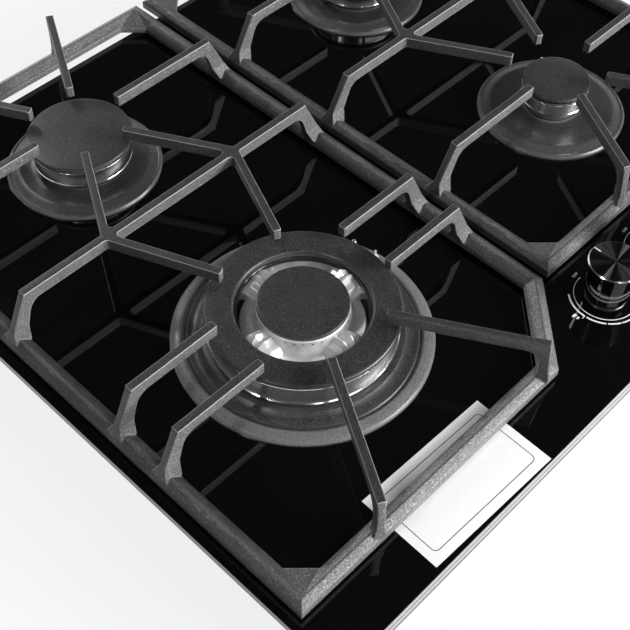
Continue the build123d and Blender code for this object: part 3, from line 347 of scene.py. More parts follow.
def enamel(name, low, high, roughness, crest=None):
    """Vitreous enamel with a fine orange-peel grain, a painted highlight on convex edges, and
    painted light that makes a ring paler outside its crest.
    """
    f = Finish(name, Coat_Weight=0.15, Coat_Roughness=0.25)
    # Convex edges, found by pointiness, mark where a painted highlight goes.
    edge = f.node("ShaderNodeNewGeometry", {}, {}).out("Pointiness").step(0.515, 0.560)
    grain = f.noise(1200.0, 2.0, 0.75)
    peel = f.noise(600.0, 2.0, 0.5)
    cloud = f.noise(40.0, 3.0, 0.55)
    shade = f.mix(cloud.step(0.3, 0.7), grey(low), grey(high))
    # Painted light: outside the crest the ring is made paler.
    if crest:
        centre, inner, outer, outer_painted_light = crest
        outside = f.radius(f.about(centre)).step(inner * MM, outer * MM)
        shade = f.mix(outside, shade, grey(outer_painted_light))
    shade = f.mix(grain.step(0.42, 0.66) * 0.65, shade, grey(low * 0.2))
    shade = f.mix((1.0 - grain).step(0.50, 0.68) * 0.50, shade, grey(high * 3.6))
    # The painted highlight on convex edges.
    f.set("Base Color", f.mix(edge * 0.7, shade, grey(0.16)))
    f.set("Roughness", (grain * 0.18 + (roughness - 0.09)) * (1.0 - edge * 0.35))
    return f.bump(grain * 0.6 + peel * 0.4, 0.09 * MM, 0.8).material


def cast_alloy(name, shade, painted_shade_axis=None):
    """Bright die-cast alloy with a satin skin, with painted shade at both sides of a given axis.
    """
    f = Finish(name)
    grain = f.noise(700.0, 3.0, 0.6)
    marks = f.noise(120.0, 3.0, 0.6)
    tone = f.mix(marks.step(0.40, 0.75) * 0.5, grey(shade), grey(shade * 0.62))
    # Painted shade: away from the given axis the tone is darkened.
    if painted_shade_axis:
        centre, degrees = painted_shade_axis
        place = f.about(centre)
        x, y = f.parts(place)[:2]
        turn = math.radians(degrees)
        ahead = (x * math.cos(turn) + y * math.sin(turn)).abs() / f.radius(place).max(1.0 * MM)
        tone = f.mix((1.0 - ahead.step(0.45, 0.85)) * 0.45, tone, grey(shade * 0.05))
    f.set("Base Color", tone)
    f.set("Metallic", marks * 0.2 + 0.22)
    f.set("Roughness", grain * 0.16 + 0.24)
    return f.bump(grain, 0.03 * MM, 0.5).material


def turned_metal(name, centre, shade, roughness, bright, hole=None):
    """Bright metal with turning lines, dark and not metallic outside a height range, and with
    painted shadow high up in a hole.
    """
    f = Finish(name, Metallic=1.0, Anisotropic=0.35, Anisotropic_Rotation=0.25)
    place = f.about(centre)
    z = f.parts(place)[2]
    reach = f.radius(place)
    lines = f.lines(z + reach, 0.22 * MM)
    smudge = f.noise(140.0, 3.0, 0.6)
    tone = f.mix(lines, grey(shade * 0.88), grey(shade))
    tone = f.mix(smudge.step(0.5, 0.8) * 0.25, tone, grey(shade * 0.6))
    low, high = bright
    below = 1.0 - z.step((low - 0.2) * MM, (low + 0.1) * MM)
    dark_and_painted_shadow = below.max(z.step(high * MM, (high + 0.3) * MM))
    # Painted shadow: high up in the hole, the wall is made dark.
    if hole:
        radius, top = hole
        inside = 1.0 - reach.step(radius * MM, (radius + 1.0) * MM)
        dark_and_painted_shadow = dark_and_painted_shadow.max(inside * z.step((top - 0.6) * MM, top * MM))
    f.set("Metallic", 1.0 - dark_and_painted_shadow)
    f.set("Base Color", f.mix(dark_and_painted_shadow, tone, grey(0.02)))
    f.set("Roughness", lines * 0.06 + smudge * 0.08 + (roughness - 0.07))
    return f.bump(lines, 0.004 * MM, 0.5).material


def plain_metal(name, shade, roughness, tint=(1.0, 1.0, 1.0)):
    """Rolled, drawn or cast metal with a slight grain."""
    f = Finish(name, Metallic=1.0)
    grain = f.noise(900.0, 3.0, 0.6)
    cloud = f.noise(35.0, 4.0, 0.6)
    bright = tuple(shade * c for c in tint)
    dull = tuple(0.72 * shade * c for c in tint)
    f.set("Base Color", f.mix(cloud.step(0.3, 0.75), bright, dull))
    f.set("Roughness", grain * 0.18 + cloud * 0.12 + (roughness - 0.15))
    return f.bump(grain, 0.04 * MM, 0.5).material


def spangled_steel():
    """Galvanised sheet: crystal spangle over a rolled sheet."""
    f = Finish("galvanised_sheet", Metallic=1.0)
    inputs = {"Vector": f.place, "Scale": 130.0}
    crystals = f.node("ShaderNodeTexVoronoi", {"feature": "F1"}, inputs)
    tone = f.node("ShaderNodeRGBToBW", {}, {0: crystals.out("Color")})
    rolled = f.noise(300.0, 3.0, 0.5, f.stretched(0.15, 3.0, 1.0))
    f.set("Base Color", f.mix(tone, grey(0.42), grey(0.62)))
    f.set("Roughness", tone * 0.16 + rolled * 0.14 + 0.26)
    return f.bump(rolled, 0.02 * MM, 0.5).material


def moulding(name, shade, roughness, tint=(1.0, 1.0, 1.0), grain_scale=1400.0, depth=0.05):
    """Plastic, rubber or foam with a moulded grain."""
    f = Finish(name)
    grain = f.noise(grain_scale, 3.0, 0.6)
    cloud = f.noise(50.0, 3.0, 0.6)
    full = tuple(shade * c for c in tint)
    worn = tuple(min(1.0, 1.35 * shade * c) for c in tint)
    f.set("Base Color", f.mix(cloud.step(0.35, 0.75), full, worn))
    f.set("Roughness", grain * 0.2 + (roughness - 0.1))
    return f.bump(grain, depth * MM, 0.6).material


def braid(name, tint, scale):
    """Woven sleeve or capillary lead."""
    f = Finish(name)
    settings = {"wave_type": "BANDS", "bands_direction": "DIAGONAL"}
    inputs = {"Vector": f.place, "Scale": scale, "Distortion": 0.6}
    weave = f.node("ShaderNodeTexWave", settings, inputs)
    dull = tuple(0.6 * c for c in tint)
    f.set("Base Color", f.mix(weave, dull, tint))
    f.set("Roughness", weave * 0.2 + 0.4)
    return f.bump(weave, 0.1 * MM, 0.5).material


def label_paper():
    """A blank coated label with a thin rounded border line."""
    centre = middle("blank_label")
    f = Finish("label_paper", Coat_Weight=0.2, Coat_Roughness=0.3)
    x, y = f.parts(f.about(centre, math.radians(-1.5)))[:2]
    corner = 3.4 * MM
    beyond_x = (x.abs() - 42.6 * MM).max(0.0)
    beyond_y = (y.abs() - 20.0 * MM).max(0.0)
    reach = (beyond_x * beyond_x + beyond_y * beyond_y) ** 0.5
    line = 1.0 - (reach - corner).abs().step(0.22 * MM, 0.36 * MM)
    fibre = f.noise(500.0, 4.0, 0.6)
    f.set("Base Color", f.mix(line, f.mix(fibre, grey(0.90), grey(0.96)), grey(0.03)))
    f.set("Roughness", fibre * 0.1 + 0.42)
    return f.bump(fibre, 0.01 * MM, 0.4).material


def white_print():
    """Screen-printed white ink."""
    f = Finish("white_print")
    wear = f.noise(1200.0, 2.0, 0.5)
    f.set("Base Color", f.mix(wear.step(0.35, 0.7), grey(0.88), grey(0.66)))
    f.set("Roughness", wear * 0.2 + 0.35)
    return f.material


def knob_side():
    """Polished black-plated metal."""
    f = Finish("knob_plating", Metallic=1.0)
    haze = f.noise(220.0, 3.0, 0.6)
    f.set("Base Color", f.mix(haze, grey(0.20), grey(0.30)))
    f.set("Roughness", haze * 0.08 + 0.07)
    return f.material


def spun_black(centre):
    """Black anodised metal with spun rings round the knob's axis and two painted highlights in
    the shape of spun-metal fans.
    """
    f = Finish("spun_black", Metallic=1.0, Anisotropic=0.97, Anisotropic_Rotation=0.25)
    place = f.about(centre)
    x, y = f.parts(place)[:2]
    reach = f.radius(place)
    rings = f.lines(reach, 0.16 * MM)
    shade = 0.025
    # Two fans of painted highlight, at 12 and 55 degrees about the knob's axis.
    for degrees, share in ((12.0, 0.30), (55.0, 0.05)):
        turn = math.radians(degrees)
        off = (x * math.sin(turn) - y * math.cos(turn)).abs() / reach.max(0.1 * MM)
        shade = (1.0 - off.step(0.09, 0.17)) * share + shade
    f.set("Base Color", shade * (rings * 0.6 + 0.7))
    f.set("Roughness", rings * 0.10 + 0.38)
    return f.material


# ------------------------------------------------------------------ mesh making
def put(name, data):
    """Adds an object to the scene that holds a mesh, a curve, a lamp or a camera."""
    holder = bpy.data.objects.new(name, data)
    bpy.context.scene.collection.objects.link(holder)
    return holder


def set_down(name, bm):
    """Turns a bmesh into a mesh and lets go of it."""
    mesh = bpy.data.meshes.new(name)
    bm.to_mesh(mesh)
    bm.free()
    return mesh


def close_up(bm):
    """Merges a bmesh's doubles and turns its faces outwards."""
    bmesh.ops.remove_doubles(bm, verts=bm.verts, dist=1e-6)
    bmesh.ops.recalc_face_normals(bm, faces=bm.faces)
    return bm


def add_piece(name, bm, material, body, smooth=35.0):
    """Puts a finished bmesh into the scene as a piece that rides on a body."""
    mesh = set_down(name, close_up(bm))
    mesh.materials.append(material)
    mesh.shade_smooth()
    mesh.set_sharp_from_angle(angle=math.radians(smooth))
    piece = put(name, mesh)
    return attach(piece, body)


def around(centre, degrees, radius, height):
    """The turn and place of something at an angle and a radius about a centre."""
    turn = Matrix.Rotation(math.radians(degrees), 4, "Z")
    return Matrix.Translation(centre) @ turn @ Matrix.Translation((radius * MM, 0, height * MM))


def rod(bm, place, radius, length, segments):
    """Adds a closed rod along a place's own Z axis, and gives back its vertices."""
    return bmesh.ops.create_cone(
        bm, cap_ends=True, segments=segments, radius1=radius * MM, radius2=radius * MM,
        depth=length * MM, matrix=place,
    )["verts"]


def block(bm, place, *sizes):
    """Adds a block with the given sizes along a place's own axes."""
    shape = Matrix.Diagonal((*(size * MM for size in sizes), 1.0))
    bmesh.ops.create_cube(bm, size=1.0, matrix=place @ shape)


def bevel(bm, edges, width, segments=1):
    """Cuts or rounds edges."""
    bmesh.ops.bevel(
        bm, geom=edges, offset=width * MM, offset_type="OFFSET", affect="EDGES",
        segments=segments, profile=0.5, material=-1,
    )
    return bm


def lathe(outline, centre, steps, closed=True):
    """Turns an outline of (radius, height) in millimetres about a centre."""
    bm = bmesh.new()
    corners = [bm.verts.new((centre.x + r * MM, centre.y, centre.z + z * MM)) for r, z in outline]
    ends = corners[1:] + corners[:1] if closed else corners[1:]
    edges = [bm.edges.new(pair) for pair in zip(corners, ends)]
    bmesh.ops.spin(
        bm, geom=corners + edges, cent=centre, axis=(0, 0, 1), angle=math.tau, steps=steps,
        use_merge=True, use_duplicate=False,
    )
    return close_up(bm)


def soften(bm, centre, corners, width, segments=3):
    """Rounds the edge circles that stand at the given (radius, height) corners."""
    near = 0.02 * MM
    for r, z in corners:
        circle = [
            edge for edge in bm.edges
            if all(
                abs((v.co - centre).xy.length - r * MM) < near
                and abs(v.co.z - centre.z - z * MM) < near
                for v in edge.verts
            )
        ]
        bevel(bm, circle, width, segments)
    return bm


def evaluated(holder):
    """An object's mesh after its modifiers, or a curve's outline as a mesh."""
    graph = bpy.context.evaluated_depsgraph_get()
    return bpy.data.meshes.new_from_object(holder.evaluated_get(graph))


def worked(bm, kind, **settings):
    """Puts a bmesh through one modifier and gives back the result."""
    mesh = set_down("blank", bm)
    holder = put("blank", mesh)
    modifier = holder.modifiers.new("work", kind)
    for name, value in settings.items():
        setattr(modifier, name, value)
    shaped = evaluated(holder)
    result = bmesh.new()
    result.from_mesh(shaped)
    bpy.data.objects.remove(holder)
    bpy.data.meshes.remove(mesh)
    bpy.data.meshes.remove(shaped)
    return result


def cut(bm, cutter):
    """Takes one closed shape away from another."""
    mesh = set_down("cutter", cutter)
    holder = put("cutter", mesh)
    result = worked(bm, "BOOLEAN", operation="DIFFERENCE", solver="EXACT", object=holder)
    bpy.data.objects.remove(holder)
    bpy.data.meshes.remove(mesh)
    return result


def casting(node, skin, share):
    """A copy of a CAD node in one skin, with even facets that take a cast surface's shading."""
    bm = bmesh.new()
    bm.from_mesh(frame["nodes"][node].data)
    bmesh.ops.remove_doubles(bm, verts=bm.verts, dist=0.005 * MM)
    bm = worked(bm, "REMESH", mode="VOXEL", voxel_size=skin)
    return worked(bm, "DECIMATE", decimate_type="COLLAPSE", ratio=share)


def arc_bar(bm, centre, inner, outer, start, end, low, high):
    """A flat bar bent round a centre, between two angles in degrees."""
    place = around(centre, start, 0, 0)
    corners = []
    for r, z in ((inner, low), (outer, low), (outer, high), (inner, high)):
        corners.append(bm.verts.new(place @ Vector((r * MM, 0, z * MM))))
    face = bm.faces.new(corners)
    steps = max(2, int(abs(end - start) / 4))
    bmesh.ops.spin(
        bm, geom=[face], cent=centre, axis=(0, 0, 1), angle=math.radians(end - start),
        steps=steps,
    )


def slot_of(node):
    """The material slot that the record gives a node."""
    parts = frame["record"]["subparts"]
    return next(part["material_slot"] for part in parts if part["node"] == node)


def paint(node, material):
    """Gives a CAD node its finish."""
    slots = frame["nodes"][node].data.materials
    if not slots:
        slots.append(material)
    for k in range(len(slots)):
        slots[k] = material


# ------------------------------------------------------------------ settings
class CooktopKnobs(bpy.types.PropertyGroup):
    foot_radius: FloatProperty(
        name="Foot Radius", description="Radius of the knob where it meets the bezel",
        default=15.2 * MM, unit="LENGTH",
    )
    top_radius: FloatProperty(
        name="Top Radius", description="Radius of the knob's upper edge", default=18.6 * MM,
        unit="LENGTH",
    )
    chamfer: FloatProperty(
        name="Bright Chamfer", description="Width of the cut bright edge", default=0.8 * MM,
        unit="LENGTH",
    )
    pointer_length: FloatProperty(
        name="Pointer Length", description="Length of the white pointer", default=5.2 * MM,
        unit="LENGTH",
    )


class CooktopScales(bpy.types.PropertyGroup):
    ring_radius: FloatProperty(
        name="Ring Radius", description="Radius of the printed ring round a knob",
        default=21.8 * MM, unit="LENGTH",
    )
    line_width: FloatProperty(
        name="Line Width", description="Width of the printed ring", default=0.7 * MM,
        unit="LENGTH",
    )


class CooktopCastings(bpy.types.PropertyGroup):
    skin: FloatProperty(
        name="Casting Skin", description="Size of the facets that the castings are skinned with",
        default=0.50 * MM, unit="LENGTH",
    )
    share: FloatProperty(
        name="Facets Kept", description="Share of the castings' facets that stay after thinning",
        default=0.15, min=0.05, max=1.0,
    )
    cap_dome: FloatProperty(
        name="Cap Dome", description="How much higher a burner cap is in its middle",
        default=0.5 * MM, unit="LENGTH",
    )
    cap_round: FloatProperty(
        name="Cap Edge", description="Rounding of a burner cap's upper edge", default=1.4 * MM,
        unit="LENGTH",
    )


class CooktopStage(bpy.types.PropertyGroup):
    floor_colour: FloatVectorProperty(
        name="Floor Colour", description="Colour of the floor and backdrop", subtype="COLOR",
        default=grey(0.90), min=0.0, max=1.0,
    )
    floor_lift: FloatProperty(
        name="Floor Lift", description="How much of the floor's own white the camera sees",
        default=0.80, min=0.0, max=1.0,
    )
    world_level: FloatProperty(
        name="World Level", description="Brightness of the studio's walls", default=0.03,
        min=0.0,
    )
    lens: FloatProperty(
        name="Lens", description="Focal length of the camera", default=67.162,
        unit="CAMERA",
    )


# ------------------------------------------------------------------ operators
class COOKTOP_OT_glass(bpy.types.Operator):
    """Finishes the glass, its seal and the label"""
    bl_idname = "cooktop.glass"
    bl_label = "Glass and Label"

    def execute(self, context):
        paint("glass_top", black_glass())
        paint("worktop_seal", moulding("foam_seal", 0.035, 0.85, grain_scale=700.0, depth=0.3))
        paint("blank_label", label_paper())
        return {"FINISHED"}


class COOKTOP_OT_pan_supports(bpy.types.Operator):
    """Makes the cast pan supports and finishes their rubber feet"""
    bl_idname = "cooktop.pan_supports"
    bl_label = "Pan Supports"

    def execute(self, context):
        sizes = context.scene.cooktop_castings
        iron = cast_iron()
        rubber = moulding("foot_rubber", 0.02, 0.7)
        for side in ("left", "right"):
            node = f"{side}_pan_support"
            skinned = casting(node, sizes.skin, sizes.share)
            piece = add_piece(f"{side}_casting", skinned, iron, f"{side}_support", 38.0)
            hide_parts(node)
            paint(f"{side}_support_feet", rubber)
        return {"FINISHED"}


class COOKTOP_OT_burners(bpy.types.Operator):
    """Makes the burners: spill rings, crowns and caps, and finishes their studs and cups"""
    bl_idname = "cooktop.burners"
    bl_label = "Burners"

    def execute(self, context):
        self.sizes = context.scene.cooktop_castings
        self.cap_finish = enamel("cap_enamel", 0.026, 0.038, 0.36)
        for name, burner in BURNERS.items():
            centre = middle(f"{name}_cup")
            # The crest gives where the ring is made paler outside it, as painted light.
            crest = (centre, *burner.crest)
            finish = enamel(f"{name}_ring_enamel", 0.026, 0.040, 0.34, crest)
            self.spill_ring(name, burner, centre, finish)
            paint(f"{name}_cup", plain_metal(f"{name}_cup_alloy", 0.30, 0.5))
        for name in PLAIN_BURNERS:
            self.plain_crown(name, BURNERS[name], middle(f"{name}_cup"))
            self.cap(name, f"{name}_cap", f"{name}_lid", BURNERS[name].cap, CAP_SEAT, CAP_TOP)
        self.wok_crown(BURNERS["wok"], middle("wok_cup"))
        self.ring_cap(BURNERS["wok"], middle("wok_cup"))
        self.cap("wok_centre", "wok_centre_cap", "wok_centre_lid", *CENTRE_CAP)
        paint("burner_gaskets", moulding("fibre_gasket", 0.08, 0.9, grain_scale=500.0))
        paint("injectors", plain_metal("injector_brass", 0.75, 0.32, (1.0, 0.78, 0.38)))
        paint("spark_electrodes", moulding("glazed_ceramic", 0.78, 0.22, (1.0, 0.98, 0.94)))
        paint("thermocouples", plain_metal("probe_steel", 0.66, 0.28))
        return {"FINISHED"}

    def spill_ring(self, name, burner, centre, finish):
        """The pressed ring on the glass, with a hole for each stud."""
        outer, inner = burner.ring, burner.neck + 0.8
        if name == "wok":
            top = [
                (outer, 1.4), (outer - 1.2, 3.0), (outer - 4.5, 4.2), (outer - 8.0, 4.7),
                (outer - 8.7, 3.2), (outer - 10.2, 3.2), (outer - 11.2, 4.6), (outer - 14.0, 4.4),
                (outer - 17.5, 5.0), (outer - 20.5, 7.2), (inner + 12.0, 8.0), (inner + 4.0, 8.3),
                (inner, 8.4),
            ]
            edges = [
                (outer - 1.2, 3.0), (outer - 8.0, 4.7), (outer - 11.2, 4.6), (outer - 20.5, 7.2),
            ]
        else:
            crest = outer * 0.83
            top = [
                (outer, 1.6), (outer - 1.2, 3.2), (outer - 2.4, 3.2), (outer - 3.2, 2.7),
                (crest + 3.0, 4.2), (crest, 4.9), (crest - 2.0, 4.9), (inner + 9.0, 4.2),
                (inner + 5.0, 4.9), (inner + 2.0, 6.1), (inner, 6.1),
            ]
            edges = [(outer - 1.2, 3.2), (outer - 3.2, 2.7), (crest, 4.9)]
        outline = [(outer, 0.0), *top, (inner, 2.2), (outer - 2.5, 1.2), (outer - 2.5, 0.0)]
        bm = soften(lathe(outline, centre, 192), centre, edges, 0.5)
        holes = bmesh.new()
        for (radius, degrees), hole in ((burner.electrode, 2.9), (burner.probe, 2.4)):
            rod(holes, around(centre, degrees, radius, 4.0), hole, 24.0, 24)
        piece = add_piece(f"{name}_ring", cut(bm, holes), finish, "base")
        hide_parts(f"{name}_spill_ring")
        slot_of(f"{name}_spill_ring")

    def plain_crown(self, name, burner, centre):
        """The crown: neck, bright band with beads, and the slotted edge under the cap."""
        band, low = burner.band, burner.low
        skirt = burner.neck - 3.4
        outline = [
            (skirt, 5.0), (skirt, 10.0), (burner.neck, 10.0), (band - 1.6, low - 0.9),
            (band + 0.3, low - 0.5), (band + 0.3, low + 0.1), (band, low + 0.5), (band, 24.0),
            (band + 0.5, 24.5), (band + 0.5, 25.1), (band - 0.8, 25.5), (band - 0.8, CAP_SEAT),
            (band - 5.0, CAP_SEAT), (band - 5.0, 13.0), (skirt - 2.5, 13.0), (skirt - 2.5, 5.0),
        ]
        beads = [(band + 0.5, 24.5), (band + 0.5, 25.1), (band + 0.3, low - 0.5)]
        bm = soften(lathe(outline, centre, 192), centre, beads, 0.15, 2)
        ports = bmesh.new()
        for k in range(burner.ports):
            place = around(centre, 360.0 * k / burner.ports, band, 26.9)
            block(ports, place, PORT_REACH, PORT_WIDTH, 2.3)
        block(ports, around(centre, BAND_NOTCH, band, (low + 25.0) / 2), 1.4, 1.2, 12.0)
        metal = turned_metal(f"{name}_crown_metal", centre, 0.85, 0.17, (low - 0.6, 25.3))
        piece = add_piece(f"{name}_crown_ring", cut(bm, ports), metal, f"{name}_crown")
        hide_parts(f"{name}_flame_spreader")
        slot_of(f"{name}_flame_spreader")

    def cap(self, name, node, body, radius, low, high):
        """A pressed lid with a slightly domed top and a lip underneath."""
        centre = middle(node)
        dome = self.sizes.cap_dome / MM
        lip = radius - 6.8
        outline = [
            (0.0, high), (radius * 0.55, high - dome * 0.3), (radius - 1.0, high - dome),
            (radius, high - dome - 0.4), (radius, low + 0.6), (radius - 0.6, low), (lip, low),
            (lip, low - 3.0), (lip - 2.0, low - 3.0), (lip - 2.0, low + 0.8), (0.0, low + 0.8),
        ]
        bm = lathe(outline, centre, 192, closed=False)
        edges = [(radius - 1.0, high - dome), (radius, high - dome - 0.4)]
        soften(bm, centre, edges, self.sizes.cap_round / MM / 2)
        piece = add_piece(f"{name}_cap_lid", bm, self.cap_finish, body, 50.0)
        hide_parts(node)
        slot_of(node)

    def ring_cap(self, burner, centre):
        """The large ring cap, rounded at both edges."""
        rim, hole = burner.cap, 44.9
        lip = burner.band - 5.4
        outline = [
            (rim, 28.1), (rim, 30.3), (rim - 1.2, 31.3), ((rim + hole) / 2, CAP_TOP),
            (hole + 1.4, 31.3), (hole, 30.2), (hole, 27.5), (lip - 2.0, 27.5), (lip - 2.0, 24.5),
            (lip, 24.5), (lip, 27.5), (rim - 0.6, 27.5),
        ]
        edges = [(rim, 30.3), (rim - 1.2, 31.3), (hole + 1.4, 31.3), (hole, 30.2)]
        bm = soften(lathe(outline, centre, 224), centre, edges, 0.5)
        piece = add_piece("wok_ring_lid", bm, self.cap_finish, "wok_ring_lid", 50.0)
        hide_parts("wok_ring_cap")
        slot_of("wok_ring_cap")

    def wok_crown(self, burner, centre):
        """Outer and inner crown joined by four lugs with a lighting channel."""
        band, low = burner.band, burner.low
        ports = bmesh.new()
        for k in range(burner.ports):
            place = around(centre, 360.0 * k / burner.ports, band, 26.95)
            block(ports, place, PORT_REACH, PORT_WIDTH, 1.2)
        block(ports, around(centre, BAND_NOTCH, band, (low + 24.0) / 2), 1.4, 1.2, 14.0)
        outer = cut(lathe(WOK_OUTER_CROWN, centre, 240), ports)
        lean = Matrix.Rotation(math.radians(90), 4, "Y")
        holes = bmesh.new()
        lugs = bmesh.new()
        for quarter in (0.0, 90.0, 180.0, 270.0):
            for off in (-22.0, -11.0, 0.0, 11.0, 22.0):
                rod(holes, around(centre, quarter + 45.0 + off, 30.8, 28.2) @ lean, 0.9, 6.0, 12)
            self.lug(lugs, around(centre, quarter, 0, 0))
        inner = cut(lathe(WOK_INNER_CROWN, centre, 160), holes)
        metal = turned_metal(
            "wok_crown_metal", centre, 0.85, 0.17, (low - 0.4, 31.2), (48.0, 24.0),
        )
        alloy = cast_alloy("wok_crown_alloy", 0.74)
        # The bowl gets painted shade at its sides, away from the axis at 222 degrees.
        bowl = cast_alloy("wok_bowl_alloy", 0.80, (centre, 222.0))
        for name, bm, finish in (
            ("wok_outer_crown", outer, metal), ("wok_inner_crown", inner, bowl),
        ):
            add_piece(name, bm, finish, "wok_crown")
            slot_of("wok_flame_spreader")
        bevel(lugs, lugs.edges[:], 0.22)
        piece = add_piece("wok_crown_lugs", lugs, alloy, "wok_crown", 14.0)
        slot_of("wok_flame_spreader")
        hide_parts("wok_flame_spreader")

    def lug(self, bm, place):
        """One lug: a shouldered block with two ridges that rise outwards to a pair of noses."""
        loops = []
        for radius, valley, *half in WOK_LUG:
            outline = half + [(0.0, valley)] + [(-across, up) for across, up in reversed(half)]
            corners = [bm.verts.new(place @ (Vector((radius, t, z)) * MM)) for t, z in outline]
            ends = corners[1:] + corners[:1]
            loops.append([bm.edges.new(pair) for pair in zip(corners, ends)])
        for near, far in zip(loops, loops[1:]):
            bmesh.ops.bridge_loops(bm, edges=near + far)
        for loop in (loops[0], loops[-1]):
            bmesh.ops.contextual_create(bm, geom=loop)


class COOKTOP_OT_knobs(bpy.types.Operator):
    """Makes the four knobs: polished black side, cut bright edge, spun top and white pointer"""
    bl_idname = "cooktop.knobs"
    bl_label = "Knobs"

    def execute(self, context):
        sizes = context.scene.cooktop_knobs
        foot = sizes.foot_radius / MM
        top = sizes.top_radius / MM
        chamfer = sizes.chamfer / MM
        length = sizes.pointer_length / MM
        face = top - chamfer
        side = knob_side()
        bright = plain_metal("cut_edge_metal", 0.92, 0.16)
        ink = white_print()
        rubber = moulding("bezel_rubber", 0.012, 0.25, grain_scale=900.0, depth=0.01)
        paint("knob_bezels", rubber)
        shell_outline = [
            (KNOB_BOSS, KNOB_FOOT), (KNOB_BOSS, KNOB_HOLLOW), (KNOB_CAVITY, KNOB_HOLLOW),
            (KNOB_CAVITY, KNOB_FOOT), (foot - 0.3, KNOB_FOOT), (foot, KNOB_FOOT + 0.3),
            (foot + 0.12, KNOB_FOOT + 1.5), (top - 0.06, KNOB_TOP - chamfer - 0.5),
            (top, KNOB_TOP - chamfer), (face, KNOB_TOP - 0.1), (0.4, KNOB_TOP - 0.1),
            (0.4, KNOB_BORE_END), (KNOB_BORE, KNOB_BORE_END), (KNOB_BORE, KNOB_FOOT),
        ]
        rim_outline = [
            (top + 0.02, KNOB_TOP - 0.1 - chamfer), (top + 0.04, KNOB_TOP + 0.02 - chamfer),
            (face + 0.02, KNOB_TOP), (face - 0.15, KNOB_TOP),
            (face - 0.15, KNOB_TOP - 0.2 - chamfer),
        ]
        face_outline = [
            (0.3, KNOB_TOP - 0.15), (0.3, KNOB_TOP - 0.07), (face - 0.15, KNOB_TOP - 0.07),
            (face - 0.15, KNOB_TOP - 0.15),
        ]
        for k in KNOBS:
            centre = middle(f"knob_{k}")
            body = f"knob_stem_{k}"
            shell = lathe(shell_outline, centre, 96)
            rim = lathe(rim_outline, centre, 96)
            spun = lathe(face_outline, centre, 96)
            piece = add_piece(f"knob_{k}_shell", shell, side, body)
            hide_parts(f"knob_{k}")
            rim_piece = add_piece(f"knob_{k}_cut_edge", rim, bright, body)
            face_piece = add_piece(f"knob_{k}_spun_face", spun, spun_black(centre), body)
            mark = bmesh.new()
            place = around(centre, 90.0, face - 0.1 - length / 2, KNOB_TOP - 0.02)
            block(mark, place, length, 0.9, 0.10)
            bevel(mark, mark.edges[:], 0.04)
            add_piece(f"knob_{k}_pointer", mark, ink, body)
        return {"FINISHED"}


class COOKTOP_OT_scales(bpy.types.Operator):
    """Prints the scale round each knob on the glass"""
    bl_idname = "cooktop.scales"
    bl_label = "Printed Scales"

    def execute(self, context):
        sizes = context.scene.cooktop_scales
        ring = sizes.ring_radius / MM
        half = sizes.line_width / MM / 2
        ink = white_print()
        for k in KNOBS:
            centre = middle(f"knob_{k}")
            bm = bmesh.new()
            for start, end, share in ((92, 150, 0.5), (150, 200, 0.75), (200, 300, 1.0)):
                near, far = ring - half * share, ring + half * share
                arc_bar(bm, centre, near, far, start, end, 0.0, INK)
            for start, end in ((133, 181), (185.3, 216.7), (219.3, 240.2), (242, 300)):
                arc_bar(bm, centre, SCALE_INNER, SCALE_OUTER, start, end, 0.0, INK)
            arc_bar(bm, centre, SCALE_INNER, SCALE_TICK, 181.0, 182.3, 0.0, INK)
            rod(bm, around(centre, 90.0, ring, INK / 2), 0.55, INK, 20)
            for degrees, size in ((171.5, 1.25), (177.0, 0.85)):
                self.flame(bm, around(centre, degrees, 29.4, INK / 2), size)
            self.word(bm, "OFF", around(centre, 90.0, 25.6, INK / 2))
            add_piece(f"scale_{k}_print", bm, ink, "base")
        return {"FINISHED"}

    def flame(self, bm, place, size):
        """A flat drop-shaped flame mark that points away from the knob."""
        made = rod(bm, Matrix(), size, INK, 16)
        for v in made:
            if v.co.x > 0:
                v.co.x *= 2.2
                v.co.y *= 0.75
        bmesh.ops.transform(bm, matrix=place, verts=made)

    def word(self, bm, text, place):
        """Flat lettering, read from in front of the cooktop."""
        curve = bpy.data.curves.new("lettering", "FONT")
        curve.body = text
        curve.size = 3.0 * MM
        curve.align_x = "CENTER"
        curve.align_y = "CENTER"
        curve.extrude = INK / 2 * MM
        holder = put("lettering", curve)
        mesh = evaluated(holder)
        mesh.transform(place @ Matrix.Rotation(math.radians(-90), 4, "Z"))
        bm.from_mesh(mesh)
        bpy.data.objects.remove(holder)
        bpy.data.curves.remove(curve)
        bpy.data.meshes.remove(mesh)


